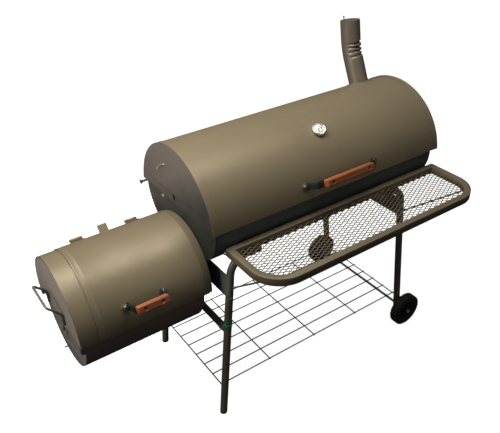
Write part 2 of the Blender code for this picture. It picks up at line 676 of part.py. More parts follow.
def build_firebox_lid(steel, dark, wood, grey):
    """Curved firebox lid, its hinges and handle, the stop tab, corner clips and the wire end handle."""
    hinge_r = FB_R + FB_HINGE_LIFT
    axis = about_x(hinge_r, -FB_HINGE_DEG, FB_Z)
    pivot = ((FB_LID_X0 + FB_LID_X1) / 2, axis.y, axis.z)
    edge = disc_angle(FB_LID_R, FB_Z, FB_EDGE)
    lid = shell("firebox_lid", FB_LID_R, FB_LID_X0, FB_LID_X1, -FB_HINGE_DEG + 0.7, edge, FB_Z, 28)
    finish_part(lid, steel, pivot)
    handle("firebox_handle", FB_HANDLE, FB_Z, FB_LID_R, dark, wood, pivot)

    for side, x in (("left", -0.2970), ("right", -0.1085)):
        ends = (x - 0.0200, x - 0.0085), (x + 0.0085, x + 0.0200)
        wide = (x - 0.0200, x + 0.0200)
        leaf = shell("firebox_hinge_leaf_" + side, FB_LID_R + 0.0023, *wide, -39.5, -31, FB_Z, 3)
        neck = shell("neck", FB_LID_R + 0.0043, *wide, -41.5, -39.0, FB_Z, 1, 0.0038)
        leaf = join(leaf, [neck])
        pin = rod("pin", (x - 0.0215, axis.y, axis.z), (x + 0.0215, axis.y, axis.z), FB_PIN_R, 12)
        knuckles = [rod("knuckle", (a, axis.y, axis.z), (b, axis.y, axis.z), 0.0055, 12) for a, b in ends]
        low = (x - 0.0082, axis.y - 0.0078, axis.z - 0.0090)
        high = (x + 0.0082, axis.y + 0.03, axis.z + 0.03)
        leaf = cut(leaf, block("gap", low, high))
        leaf = join(leaf, knuckles + [pin])
        finish_part(leaf, steel, pivot)
        base = shell("firebox_hinge_base_" + side, FB_R + CLEAR + 0.0040, *wide, -53, -43.4, FB_Z, 3, 0.0040)
        tongue = shell("tongue", FB_R + CLEAR + 0.0066, x - 0.0079, x + 0.0079, -45, -41.5, FB_Z, 2, 0.0044)
        tube = rod("tube", (x - 0.0079, axis.y, axis.z), (x + 0.0079, axis.y, axis.z), 0.0055, 12)
        base = join(base, [tongue, tube])
        hole = rod("hole", (x - 0.02, axis.y, axis.z), (x + 0.02, axis.y, axis.z), FB_PIN_R + CLEAR, 12)
        base = cut(base, hole)
        finish_part(base, steel)

    angles = (-STOP_DEG - 8, -STOP_DEG)
    foot = shell("firebox_lid_stop", FB_R + CLEAR + 0.0025, STOP_X0, STOP_X1, *angles, FB_Z, 3, 0.0025)
    t = math.radians(STOP_DEG)
    way = Vector((0, math.sin(t), math.cos(t)))
    side = Vector((0, -math.cos(t), math.sin(t)))
    low = Vector((0, 0, FB_Z)) + (FB_R + CLEAR) * way
    frame = Matrix.Translation(low) @ Matrix((
        (1, 0, 0, 0), (0, side.y, way.y, 0), (0, side.z, way.z, 0), (0, 0, 0, 1)))
    tab = block("tab", (STOP_X0 + 0.0002, -0.0024, 0.0004), (STOP_X1 - 0.0002, 0.0004, STOP_HIGH))
    tab.matrix_world = frame
    tab = bake(tab, smooth=False)
    finish_part(join(foot, [tab]), grey)

    x0 = FB_X0 + FB_INSET
    for side, sign in (("front", -1), ("rear", 1)):
        ys = sorted((sign * 0.1590, sign * 0.1760))
        clip = block("firebox_clip_" + side, (FB_X0 - 0.0010, ys[0], FB_EDGE - 0.0290),
                     (x0 - CLEAR, ys[1], FB_EDGE - 0.0006), 0.0015)
        finish_part(clip, dark)

    wire = 0.0040
    tail_x = FB_X0 - wire - CLEAR
    line = []
    for sign in (1, -1):
        side_line = [
            (tail_x, sign * 0.0650, AXIS_Z - 0.1960),
            (tail_x, sign * 0.0650, AXIS_Z - 0.1560),
            (tail_x - 0.0030, sign * 0.0645, AXIS_Z - 0.1490),
            (END_GRIP_X + 0.004, sign * 0.0620, AXIS_Z - 0.1190),
            (END_GRIP_X, sign * 0.0585, AXIS_Z - 0.1161),
        ]
        line += side_line if sign == 1 else side_line[::-1]
    bail = pipe("firebox_end_handle", line, wire, 8)
    finish_part(bail, dark)


def leg_line():
    """Centreline of the front left leg, from the floor to its inner end."""
    top = LEG_TOP_Z
    corner_x = LEG_X_FLOOR + LEG_LEAN * top
    lean = math.degrees(math.atan(LEG_LEAN))
    turn = 90 - lean
    short = LEG_BEND * math.tan(math.radians(turn / 2))
    steps = 6
    centre = (corner_x + short, top - LEG_BEND)
    bend = []
    for i in range(steps + 1):
        t = math.radians(180 - lean - turn * i / steps)
        bend.append((centre[0] + LEG_BEND * math.cos(t), centre[1] + LEG_BEND * math.sin(t)))
    points = [(LEG_X_FLOOR + LEG_LEAN * 0.006, 0.006)] + bend + [(LEG_END_X, top)]
    found = []
    for x, z in points:
        y = LEG_Y_FLOOR + (LEG_Y_TOP - LEG_Y_FLOOR) * min(1.0, z / top)
        found.append(Vector((x, -y, z)))
    return found


def placed(point, left, front):
    """Point on the front left leg moved to another leg."""
    x = point.x if left else 2 * FRAME_MID_X - point.x
    y = point.y if front else -point.y
    return Vector((x, y, point.z))


def way_of(a, b):
    return (b - a).normalized()


def build_frame(black, plastic, tape):
    """Four bent tube legs, the cradles under the chamber, the tie tube, feet and axle."""
    line = leg_line()
    low, high = line[0], line[1]
    reach = WHEEL_OUT + 0.0090
    axle = rod("axle", (AXLE_X, -reach, WHEEL_R), (AXLE_X, reach, WHEEL_R), AXLE_R, 16)
    for sign in (-1, 1):
        out, inside = sign * (WHEEL_OUT + 0.0007), sign * (WHEEL_IN - 0.0007)
        nut = rod("nut", (AXLE_X, out, WHEEL_R), (AXLE_X, out + sign * 0.0065, WHEEL_R), 0.0085, 12)
        stop = rod("stop", (AXLE_X, inside - sign * 0.0080, WHEEL_R), (AXLE_X, inside, WHEEL_R), 0.0085, 12)
        axle = join(axle, [nut, stop])
    finish_part(axle, black)

    for left in (True, False):
        for front in (True, False):
            points = [placed(p, left, front) for p in line]
            if not left:
                start = points[0] + way_of(*points[:2]) * 0.042
                points[0] = start
            name = "leg_" + ("front" if front else "rear") + ("_left" if left else "_right")
            leg = pipe(name, points, TUBE_R, 12, None, 0.0018)
            tip = points[-1]
            out = -1 if front else 1
            for off in (0.030, 0.075):
                x = tip.x - off if left else tip.x + off
                ends = (x, tip.y - out * 0.0120, tip.z), (x, out * LEG_BOLT_Y, tip.z)
                leg = join(leg, [rod("bolt", *ends, 0.0060, 10)])
            if not left:
                hole = (AXLE_X, -0.30, WHEEL_R), (AXLE_X, 0.30, WHEEL_R)
                leg = cut(leg, rod("hole", *hole, AXLE_R + 0.0003, 16))
            finish_part(leg, black)

    for front in (True, False):
        a, b = placed(low, True, front), placed(high, True, front)
        bore = TUBE_R - 0.0018 - 0.0006
        plug = [
            (0, 0.0180), (bore, 0.0180), (bore, -CLEAR),
            (TUBE_R, -CLEAR), (TUBE_R, -0.0120), (0, -0.0120),
        ]
        cap = lathe("cap", plug, out_of(a, way_of(a, b)), 14)
        cap = cut(cap, block("floor", (a.x - 0.05, a.y - 0.05, -0.05), (a.x + 0.05, a.y + 0.05, 0.0)))
        cap.name = "foot_cap_" + ("front" if front else "rear")
        finish_part(cap, plastic)

    for left in (True, False):
        name = "cradle_" + ("left" if left else "right")
        outline = box_loop(-0.2300, 0.2300, CRADLE_BOTTOM, CRADLE_TOP)
        sign = 1 if left else -1
        mid = (CRADLE_TOP + CRADLE_BOTTOM) / 2
        x = LEG_X_FLOOR + LEG_LEAN * mid - 0.0085
        x = x if left else 2 * FRAME_MID_X - x
        lean = Matrix.Rotation(sign * math.atan(LEG_LEAN), 4, "Y")
        at = Matrix.Translation((x, 0, mid)) @ lean @ facing_x(0.0, -mid)
        web = plate(name, [outline], 0.0030, at)
        drum = plate("drum", [trough_arc(-CLEAR - 0.0002, 40)], 0.2, facing_x(x))
        web = cut(web, drum)
        for front in (True, False):
            a, b = placed(low, left, front), placed(high, left, front)
            shave = rod("shave", a, b + (b - a) * 0.1, TUBE_R + CLEAR, 20)
            out = 1 if not front else -1
            block_y = sorted((out * 0.2150, out * 0.26))
            beyond = block("beyond", (x - 0.1, block_y[0], CRADLE_BOTTOM - 0.05),
                           (x + 0.1, block_y[1], CRADLE_TOP + 0.05))
            web = cut(web, shave, beyond)
        finish_part(web, black)

    x = LEG_X_FLOOR + LEG_LEAN * TIE_Z
    tie = rod("tie_tube", (x, -0.2180, TIE_Z), (x, 0.2180, TIE_Z), 0.0120, 16)
    for front in (True, False):
        a, b = placed(low, True, front), placed(high, True, front)
        tie = cut(tie, rod("shave", a, b, TUBE_R + CLEAR, 20))
    head = rod("head", (x - 0.0110, -0.1880, TIE_Z), (x - 0.0150, -0.1880, TIE_Z), 0.0050, 8)
    tie = join(tie, [head])
    finish_part(tie, black)

    at = low + (high - low) * ((BAND_Z - low.z) / (high.z - low.z))
    half = 0.011 * way_of(low, high)
    band = pipe("leg_band", [at - half, at + half], TUBE_R + 0.0011, 16, None, 0.0007)
    finish_part(band, tape)


def build_wheels(tyre, hub_paint):
    """Two wheels that turn on the axle: a tyre and a dished hub each."""
    width = WHEEL_OUT - WHEEL_IN
    half = width / 2
    for side, sign in (("front", -1), ("rear", 1)):
        centre = Vector((AXLE_X, sign * (WHEEL_IN + WHEEL_OUT) / 2, WHEEL_R))
        frame = out_of(centre, (0, sign, 0))
        band = [(0.0420, half - 0.003), (0.0455, half), (0.0630, half), (WHEEL_R, half - 0.0050),
                (WHEEL_R, -half + 0.0050), (0.0630, -half), (0.0455, -half), (0.0420, -half + 0.003)]
        finish_part(ring("tyre_" + side, band, frame, 28), tyre, centre)
        bore = AXLE_R + 0.00012
        core = [(bore, half), (0.0130, half), (0.0130, 0.0040), (0.0350, 0.0010), (0.0385, half - 0.0045),
                (0.0417, half - 0.0045), (0.0417, -half + 0.0045), (0.0385, -half + 0.0045), (0.0350, -0.0035),
                (0.0130, -0.0035), (0.0130, -half), (bore, -half)]
        finish_part(ring("hub_" + side, core, frame, 20), hub_paint, centre)


def rim_loop(inset, steps):
    """Outline of the shelf, moved in by inset: rounded at the two front corners."""
    x0, x1 = SHELF_X0 + inset, SHELF_X1 - inset
    back, front = SHELF_BACK - inset, SHELF_FRONT + inset
    r = SHELF_CORNER - inset
    loop = arc(r, 180, 270, steps, (x0 + r, front + r)) + arc(r, 270, 360, steps, (x1 - r, front + r))
    return loop + [(x1, back), (x0, back)]


def rim_ring(name):
    """Bevelled bar bent round the shelf's outline, mitred at the two back corners."""
    top, bottom, c = SHELF_Z, SHELF_Z - RIM_H, RIM_BEVEL
    section = [
        (c, top), (0.0, top - c), (0.0, bottom + c), (c, bottom),
        (RIM_W - c, bottom), (RIM_W, bottom + c), (RIM_W, top - c), (RIM_W - c, top),
    ]
    loops = [[(x, y, z) for x, y in rim_loop(inset, 8)] for inset, z in section]
    count = len(loops[0])
    points = [p for loop in loops for p in loop]
    faces = []
    for i in range(len(loops)):
        for j in range(count):
            k = (j + 1) % count
            here, after = i * count, (i + 1) % len(loops) * count
            faces.append((here + j, here + k, after + k, after + j))
    mesh = bpy.data.meshes.new(name)
    mesh.from_pydata(points, [], faces)
    return bake(add(name, mesh), smooth=False)


def build_shelf(steel, dark):
    """Front shelf: bevelled rim with tabs to the chamber, a mesh panel and two braces down to the legs."""
    rim = rim_ring("shelf_rim")
    for x in (SHELF_X0 + 0.040, SHELF_X1 - 0.040):
        low, high = (x - 0.015, SHELF_BACK - 0.010, AXIS_Z - 0.0520), (x + 0.015, -0.2092, AXIS_Z - 0.0390)
        rim = join(rim, [block("tab", low, high)])
    bolt_y, bolt_z = SHELF_BACK - 0.0085, AXIS_Z - 0.0450
    bolt = rod("bolt", (SHELF_X0 - 0.0110, bolt_y, bolt_z), (SHELF_X0 + 0.004, bolt_y, bolt_z), 0.0042, 8)
    rim = join(rim, [bolt])
    finish_part(rim, steel)

    loops = [rim_loop(RIM_W + CLEAR, 8)]
    inside = rim_loop(RIM_W + 0.004, 8)
    rows = int((SHELF_BACK - SHELF_FRONT) / MESH_PITCH_Y * 2)
    columns = int((SHELF_X1 - SHELF_X0) / MESH_PITCH_X)
    half_x, half_y = MESH_PITCH_X / 2 - MESH_STRAND * 1.1, MESH_PITCH_Y / 2 - MESH_STRAND * 0.5
    for row in range(rows + 1):
        for column in range(columns + 1):
            x = SHELF_X0 + (column + 0.5 * (row % 2)) * MESH_PITCH_X
            y = SHELF_BACK - row * MESH_PITCH_Y / 2
            diamond = [(x + half_x, y), (x, y + half_y), (x - half_x, y), (x, y - half_y)]
            diamond = clipped(diamond, inside)
            if len(diamond) > 2 and area(diamond) > 0.2 * half_x * half_y:
                loops.append(diamond)
    panel = plate("shelf_mesh", loops, 0.0025, Matrix.Translation((0, 0, SHELF_Z - 0.0055)))
    finish_part(panel, steel)

    top = SHELF_Z - RIM_H - BRACE_R - CLEAR
    left_x = LEG_X_FLOOR + LEG_LEAN * BRACE_Z
    ends = (("left", left_x, (0.0530, -0.3790)), ("right", 2 * FRAME_MID_X - left_x, (0.9300, -0.3890)))
    for side, leg_x, (x, y) in ends:
        brace = rod("shelf_brace_" + side, (leg_x, BRACE_Y, BRACE_Z), (x, y, top), BRACE_R, 8)
        finish_part(brace, dark)


def clipped(loop, frame):
    """Part of a convex loop inside a convex frame that runs anticlockwise."""
    for i in range(len(frame)):
        (ax, ay), (bx, by) = frame[i - 1], frame[i]
        kept = []
        for j in range(len(loop)):
            p, q = loop[j - 1], loop[j]
            dp = (bx - ax) * (p[1] - ay) - (by - ay) * (p[0] - ax)
            dq = (bx - ax) * (q[1] - ay) - (by - ay) * (q[0] - ax)
            if dp * dq < 0:
                k = dp / (dp - dq)
                kept.append((p[0] + k * (q[0] - p[0]), p[1] + k * (q[1] - p[1])))
            if dq >= 0:
                kept.append(q)
        loop = kept
    return loop


def area(loop):
    total = 0.0
    for i in range(len(loop)):
        total += loop[i - 1][0] * loop[i][1] - loop[i][0] * loop[i - 1][1]
    return abs(total) / 2


def build_rack(black):
    """Bottom rack: long wires lying on cross wires."""
    sink = RACK_WIRE * 1.4
    wires = []
    for i in range(RACK_CROSS):
        x = RACK_X0 + (RACK_X1 - RACK_X0) * i / (RACK_CROSS - 1)
        reach = RACK_Y + 0.0025
        wires.append(rod("bottom_rack", (x, -reach, RACK_Z), (x, reach, RACK_Z), RACK_WIRE, 6))
    for i in range(RACK_LONG):
        y = -RACK_Y + 2 * RACK_Y * i / (RACK_LONG - 1)
        a, b = (RACK_X0 - 0.0030, y, RACK_Z + sink), (RACK_X1 + 0.0030, y, RACK_Z + sink)
        wires.append(rod("wire", a, b, RACK_WIRE, 6))
    rack = join(wires[RACK_CROSS], wires[:RACK_CROSS])
    for wire in wires[RACK_CROSS + 1:]:
        rack = join(rack, [wire])
    rack.name = "bottom_rack"
    finish_part(rack, black)


def main():
    global parts
    parts = start_scene()
    olive = paint("olive_paint", (0.20, 0.17, 0.115), 0.0, 0.36)
    black = paint("black_paint", (0.016, 0.016, 0.015), 0.0, 0.42)
    grey = paint("grey_paint", (0.33, 0.30, 0.27), 0.0, 0.48)
    iron = paint("grate_iron", (0.035, 0.034, 0.033), 0.0, 0.55)
    zinc = paint("zinc", (0.62, 0.62, 0.60), 1.0, 0.30)
    wood = paint("wood", (0.52, 0.20, 0.085), 0.0, 0.50)
    dial = paint("dial_face", (0.86, 0.82, 0.72), 0.0, 0.45)
    needle = paint("needle", (0.08, 0.06, 0.05), 0.0, 0.45)
    glass = paint("lens", (0.92, 0.93, 0.94), 0.0, 0.08)
    rubber = paint("tyre_rubber", (0.030, 0.033, 0.028), 0.0, 0.75)
    plastic = paint("black_plastic", (0.020, 0.021, 0.019), 0.0, 0.50)
    tape = paint("green_tape", (0.0, 0.24, 0.11), 0.0, 0.40)
    build_chamber(black, iron)
    build_lid(olive, black, wood)
    build_dial(zinc, dial, needle, glass)
    build_flue(olive)
    build_firebox(olive, black, iron, grey)
    build_vent(grey)
    build_firebox_lid(olive, black, wood, grey)
    build_frame(black, plastic, tape)
    build_wheels(rubber, plastic)
    build_shelf(olive, black)
    build_rack(black)
    for ob in parts.objects:
        ob.location += ROW_SHIFT


main()
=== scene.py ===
"""Looks of the offset smoker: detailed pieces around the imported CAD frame, in metres."""

import math

import bmesh
import bpy
from mathutils import Matrix, Vector


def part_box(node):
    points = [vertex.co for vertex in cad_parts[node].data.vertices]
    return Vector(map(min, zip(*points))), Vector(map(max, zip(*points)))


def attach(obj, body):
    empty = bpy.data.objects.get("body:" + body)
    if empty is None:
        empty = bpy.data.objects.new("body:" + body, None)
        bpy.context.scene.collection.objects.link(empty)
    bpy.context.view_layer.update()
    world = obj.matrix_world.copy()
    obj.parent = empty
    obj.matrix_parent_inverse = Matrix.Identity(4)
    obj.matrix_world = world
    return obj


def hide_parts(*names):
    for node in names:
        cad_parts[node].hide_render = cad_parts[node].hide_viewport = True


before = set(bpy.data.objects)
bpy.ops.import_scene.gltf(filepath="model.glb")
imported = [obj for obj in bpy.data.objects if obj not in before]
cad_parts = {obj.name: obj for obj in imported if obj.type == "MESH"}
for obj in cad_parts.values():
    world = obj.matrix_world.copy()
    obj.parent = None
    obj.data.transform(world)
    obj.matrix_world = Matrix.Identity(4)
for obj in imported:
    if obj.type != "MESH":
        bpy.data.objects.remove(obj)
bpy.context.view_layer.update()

# Pieces are drawn with x = 0 at the chamber lid's left end and y = 0 on the barrel's axis.
# SHIFT then carries them to where the frame has them.
LID_LEN = 0.9556
SHIFT = Vector((
    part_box("lid_cap_right")[1].x - LID_LEN,
    (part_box("axle")[0].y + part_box("axle")[1].y) / 2,
    0.0,
))

# Chamber, with its dial and flue. Angles are from straight up, towards the front.
AXIS_Z = 0.7313
LID_R = 0.2286
LID_EDGE = AXIS_Z + 0.0271
HINGE_Y = 0.2420
HINGE_Z = AXIS_Z + 0.0040
BODY_HALF = 0.2205
BODY_DEEP = 0.1705
BODY_Z = AXIS_Z + 0.015
BODY_EDGE = AXIS_Z + 0.034
BODY_X0 = 0.0103
BODY_X1 = 0.9260
RAIL_TOP = AXIS_Z - 0.0250
DIAL_X = 0.4761
DIAL_DEG = 31.54
FLUE_X = 0.8495
FLUE_DEG = -23.9
FLUE_TOP_DEG = -9.0
FLUE_R = 0.0360
FLUE_WALL = 0.0014
FLUE_PIN_X = -0.0292

# Firebox.
FB_Z = AXIS_Z - 0.2000
FB_R = 0.1836
FB_BODY_R = 0.1790
FB_LID_R = 0.1862
FB_EDGE = AXIS_Z - 0.2063
FB_X0 = -0.4286
FB_X1 = 0.0098
FB_LID_X0 = -0.3720
FB_LID_X1 = -0.0030
FB_HINGE_DEG = 41.0
FB_RAIL_TOP = FB_Z - 0.0830
VENT_Y = -0.0060
VENT_Z = AXIS_Z - 0.2360
VENT_LEANS = (-27, 0, 27)

# Shelf.
SHELF_Z = AXIS_Z - 0.0339
SHELF_X0 = 0.041
SHELF_X1 = 0.9455
SHELF_BACK = -0.2194
SHELF_FRONT = -0.4523
SHELF_CORNER = 0.105
RIM_W = 0.022
RIM_H = 0.026

# Stand and wheels.
TUBE_R = 0.0130
MID_X = 0.4307
WHEEL_R = 0.0675
WHEEL_Y = 0.26325
WHEEL_HALF = 0.01775
AXLE_X = 0.8575
TIE_Z = AXIS_Z - 0.3636
BAND_Z = AXIS_Z - 0.3340
LEG_LEAN = 0.1009
LEG_FOOT_X = -0.0028

# Camera: heading from +Y towards +X, and how far it looks down, in degrees. The lens is for a 36 mm sensor.
CAMERA_AT = (-0.9677, -1.4191, 1.7741)
CAMERA_HEADING = 33.87
CAMERA_DOWN = 32.88
CAMERA_ROLL = -1.54
CAMERA_LENS = 44.13

# Sheet and strap stock.
SHEET = 0.0020
STRAP_THICK = 0.0025
STRAP_WIDE = 0.0240
GRIP = 0.0240


# Materials.

class Graph:
    """Shader being built: nodes and links with short calls."""

    def __init__(self, name):
        self.material = bpy.data.materials.new(name)
        self.material.use_nodes = True
        self.tree = self.material.node_tree
        self.shader = self.tree.nodes["Principled BSDF"]
        self.coords = self.tree.nodes.new("ShaderNodeTexCoord")

    def node(self, kind, **values):
        made = self.tree.nodes.new("ShaderNode" + kind)
        for key, value in values.items():
            setattr(made, key, value)
        return made

    def link(self, a, b):
        self.tree.links.new(a, b)

    def noise(self, scale, detail=4.0, stretch=None, rough=0.55):
        made = self.node("TexNoise")
        made.inputs["Scale"].default_value = scale
        made.inputs["Detail"].default_value = detail
        made.inputs["Roughness"].default_value = rough
        if stretch:
            mapping = self.node("Mapping")
            mapping.inputs["Scale"].default_value = stretch
            self.link(self.coords.outputs["Object"], mapping.inputs["Vector"])
            self.link(mapping.outputs["Vector"], made.inputs["Vector"])
        else:
            self.link(self.coords.outputs["Object"], made.inputs["Vector"])
        return made.outputs["Fac"]

    def ramp(self, source, *stops):
        made = self.node("ValToRGB")
        ramp = made.color_ramp
        while len(ramp.elements) < len(stops):
            ramp.elements.new(0.5)
        for element, (place, colour) in zip(ramp.elements, stops):
            element.position = place
            element.color = (*colour, 1.0)
        self.link(source, made.inputs["Fac"])
        return made.outputs["Color"]

    def ranged(self, source, low, high, source_low=0.3, source_high=0.7):
        made = self.node("MapRange")
        made.inputs["From Min"].default_value = source_low
        made.inputs["From Max"].default_value = source_high
        made.inputs["To Min"].default_value = low
        made.inputs["To Max"].default_value = high
        self.link(source, made.inputs["Value"])
        return made.outputs["Result"]

    def bump(self, source, strength, distance, below=None):
        made = self.node("Bump")
        made.inputs["Strength"].default_value = strength
        made.inputs["Distance"].default_value = distance
        self.link(source, made.inputs["Height"])
        if below:
            self.link(below, made.inputs["Normal"])
        return made.outputs["Normal"]


def scaled(rgb, k):
    return tuple(min(1.0, c * k) for c in rgb)


def painted(name, rgb, rough, metallic=0.0, vary=0.10, peel=0.10, coat=0.0):
    """Sprayed paint: cloudy colour, uneven gloss and a fine orange peel."""
    g = Graph(name)
    cloud = g.ramp(g.noise(5.0, 5.0), (0.30, scaled(rgb, 1 - vary)), (0.70, scaled(rgb, 1 + vary)))
    g.link(cloud, g.shader.inputs["Base Color"])
    g.link(g.ranged(g.noise(38.0, 3.0), rough - 0.04, rough + 0.06), g.shader.inputs["Roughness"])
    g.link(g.bump(g.noise(620.0, 2.0), peel, 0.0004), g.shader.inputs["Normal"])
    g.shader.inputs["Metallic"].default_value = metallic
    if coat:
        g.shader.inputs["Coat Weight"].default_value = coat
        g.shader.inputs["Coat Roughness"].default_value = 0.35
    return g.material


def shade_graded(name, near, far, way, start, end, rough, metallic):
    """Paint that shades from one colour to another along a way through the object: painted shade."""
    g = Graph(name)
    reach = g.node("VectorMath", operation="DOT_PRODUCT")
    g.link(g.coords.outputs["Object"], reach.inputs[0])
    reach.inputs[1].default_value = way
    along = g.ranged(reach.outputs["Value"], 0.0, 1.0, start, end)
    blur = g.node("Math", operation="MULTIPLY_ADD")
    g.link(g.noise(14.0, 3.0), blur.inputs[0])
    blur.inputs[1].default_value = 0.30
    g.link(along, blur.inputs[2])
    g.link(g.ramp(blur.outputs["Value"], (0.15, near), (1.0, far)), g.shader.inputs["Base Color"])
    g.link(g.ranged(g.noise(38.0, 3.0), rough - 0.04, rough + 0.06), g.shader.inputs["Roughness"])
    g.link(g.bump(g.noise(620.0, 2.0), 0.10, 0.0004), g.shader.inputs["Normal"])
    g.shader.inputs["Metallic"].default_value = metallic
    return g.material


def metal(name, rgb, rough, scale=240.0):
    """Plated steel with faint handling marks."""
    g = Graph(name)
    marks = g.noise(scale, 4.0)
    g.link(g.ramp(marks, (0.30, scaled(rgb, 0.88)), (0.70, scaled(rgb, 1.08))), g.shader.inputs["Base Color"])
    g.link(g.ranged(marks, rough - 0.05, rough + 0.10), g.shader.inputs["Roughness"])
    g.link(g.bump(g.noise(900.0, 2.0), 0.06, 0.0003), g.shader.inputs["Normal"])
    g.shader.inputs["Metallic"].default_value = 1.0
    return g.material


def cast(name, rgb, rough, pits=220.0):
    """Rough dark surface: cast iron, moulded rubber or moulded plastic."""
    g = Graph(name)
    grain = g.noise(pits, 6.0, None, 0.65)
    g.link(g.ramp(g.noise(24.0, 4.0), (0.30, scaled(rgb, 0.75)), (0.70, scaled(rgb, 1.30))),
           g.shader.inputs["Base Color"])
    g.link(g.ranged(grain, rough - 0.06, rough + 0.10), g.shader.inputs["Roughness"])
    g.link(g.bump(grain, 0.35, 0.0006), g.shader.inputs["Normal"])
    return g.material


def timber(name):
    """Oiled reddish wood with its grain along X."""
    g = Graph(name)
    fine = g.noise(90.0, 6.0, (0.10, 1.0, 1.0), 0.60)
    broad = g.noise(22.0, 3.0, (0.16, 1.0, 1.0))
    mixed = g.node("Math", operation="MULTIPLY_ADD")
    g.link(fine, mixed.inputs[0])
    mixed.inputs[1].default_value = 0.55
    half = g.ranged(broad, 0.0, 0.45)
    g.link(half, mixed.inputs[2])
    colour = g.ramp(mixed.outputs["Value"], (0.20, (0.17, 0.045, 0.017)), (0.48, (0.38, 0.120, 0.043)),
                    (0.80, (0.54, 0.20, 0.078)))
    g.link(colour, g.shader.inputs["Base Color"])
    g.link(g.ranged(fine, 0.36, 0.56), g.shader.inputs["Roughness"])
    pores = g.noise(420.0, 3.0, (0.07, 1.0, 1.0))
    g.link(g.bump(pores, 0.30, 0.0004, g.bump(fine, 0.25, 0.0008)), g.shader.inputs["Normal"])
    return g.material


def clear(name):
    """Thin glass over the dial."""
    g = Graph(name)
    g.shader.inputs["Base Color"].default_value = (0.97, 0.98, 0.98, 1.0)
    g.shader.inputs["Transmission Weight"].default_value = 1.0
    g.shader.inputs["IOR"].default_value = 1.12
    g.link(g.ranged(g.noise(60.0, 2.0), 0.02, 0.06), g.shader.inputs["Roughness"])
    return g.material


OLIVE = painted("olive_satin", (0.285, 0.230, 0.143), 0.43, 0.20, 0.05)
# Olive end paint that darkens towards the bottom and front, near the firebox: painted shade where the firebox
# blocks the light.
PAINTED_SHADE_END = shade_graded("olive_painted_shade", (0.034, 0.042, 0.042), (0.250, 0.215, 0.178), (0.0, 0.6, 1.0), 0.75, 0.95,
                  0.50, 0.12)
# Lighter, greyer copy of the olive paint for the firebox's end disc: painted side light.
HOOD_END_LIT = painted("hood_end_lit", (0.430, 0.368, 0.310), 0.50, 0.10, 0.06)
FLUE = painted("flue_satin", (0.240, 0.202, 0.156), 0.36, 0.35, 0.07)
BLACK = painted("black_satin", (0.105, 0.122, 0.130), 0.42, 0.0, 0.18)
BROWN = painted("black_brown", (0.260, 0.186, 0.138), 0.48, 0.0, 0.15)
TUBE = painted("tube_black", (0.170, 0.155, 0.124), 0.34, 0.0, 0.18)
WIRE = painted("wire_black", (0.020, 0.017, 0.012), 0.46, 0.0, 0.18)
BRONZE = painted("bronze_satin", (0.198, 0.160, 0.104), 0.44, 0.20, 0.08)
TAN = painted("tan_satin", (0.240, 0.205, 0.145), 0.48, 0.25, 0.08)
GREY = painted("grey_satin", (0.400, 0.352, 0.305), 0.48, 0.25, 0.10)
STRAP = painted("strap_satin", (0.040, 0.050, 0.050), 0.36, 0.45, 0.14)
IRON = cast("grate_black", (0.035, 0.034, 0.033), 0.55)
RUBBER = cast("tyre_black", (0.024, 0.026, 0.021), 0.70)
SOOT = cast("soot_black", (0.016, 0.015, 0.013), 0.80)
PLASTIC = cast("plastic_black", (0.024, 0.025, 0.023), 0.48, 300.0)
ZINC = metal("zinc_plate", (0.72, 0.71, 0.68), 0.24)
CHROME = metal("bright_rim", (0.84, 0.80, 0.72), 0.34)
DULL = metal("dull_plate", (0.40, 0.38, 0.35), 0.42)
WOOD = timber("handle_wood")
CREAM = painted("dial_cream", (0.92, 0.88, 0.79), 0.45, 0.0, 0.03, 0.02)
# Dark dial print, also used for thin strips at the lid seams as painted shade in the grooves.
INK_AND_SEAM_SHADE = painted("dial_ink_and_seam_shade", (0.075, 0.055, 0.045), 0.50, 0.0, 0.10, 0.02)
# Matte pale paint on the bare bolts and wire of the chamber's left end: painted highlight standing in for
# their glint.
PALE_GLINT = painted("pale_glint_paint", (0.72, 0.68, 0.60), 0.40, 0.0, 0.08, 0.05)
RUST = painted("dial_zone", (0.42, 0.22, 0.12), 0.50, 0.0, 0.10, 0.02)
GLASS = clear("dial_glass")
TAPE = painted("tape_green", (0.000, 0.230, 0.105), 0.30, 0.0, 0.12, 0.15)
LABEL = painted("tape_white", (0.62, 0.80, 0.70), 0.35, 0.0, 0.08, 0.10)


# Shapes.

def add(name, data):
    ob = bpy.data.objects.new(name, data)
    bpy.context.scene.collection.objects.link(ob)
    return ob


def baked(ob, sharp=38.0):
    """The object with its modifiers as one plain mesh, smooth except over its sharp edges."""
    bpy.context.view_layer.update()
    graph = bpy.context.evaluated_depsgraph_get()
    mesh = bpy.data.meshes.new_from_object(ob.evaluated_get(graph))
    mesh.transform(ob.matrix_world)
    name = ob.name
    bpy.data.objects.remove(ob)
    bm = bmesh.new()
    bm.from_mesh(mesh)
    bmesh.ops.remove_doubles(bm, verts=bm.verts, dist=1e-6)
    bmesh.ops.recalc_face_normals(bm, faces=bm.faces)
    bm.to_mesh(mesh)
    bm.free()
    mesh.materials.clear()
    for face in mesh.polygons:
        face.use_smooth = True
    mesh.set_sharp_from_angle(angle=math.radians(sharp))
    return add(name, mesh)


def bevelled(ob, width, segments=2):
    mod = ob.modifiers.new("edges", "BEVEL")
    mod.width = width
    mod.segments = segments
    mod.limit_method = "ANGLE"
    mod.angle_limit = math.radians(35.0)
    return baked(ob)


def merged(name, obs):
    """Several baked objects as one mesh, each keeping its own materials."""
    mesh = bpy.data.meshes.new(name)
    bm = bmesh.new()
    for ob in obs:
        base = len(mesh.materials)
        for material in ob.data.materials:
            mesh.materials.append(material)
        first = len(bm.faces)
        bm.from_mesh(ob.data)
        bm.faces.ensure_lookup_table()
        for face in bm.faces[first:]:
            face.material_index += base
    bm.to_mesh(mesh)
    bm.free()
    for ob in obs:
        bpy.data.objects.remove(ob)
    return add(name, mesh)


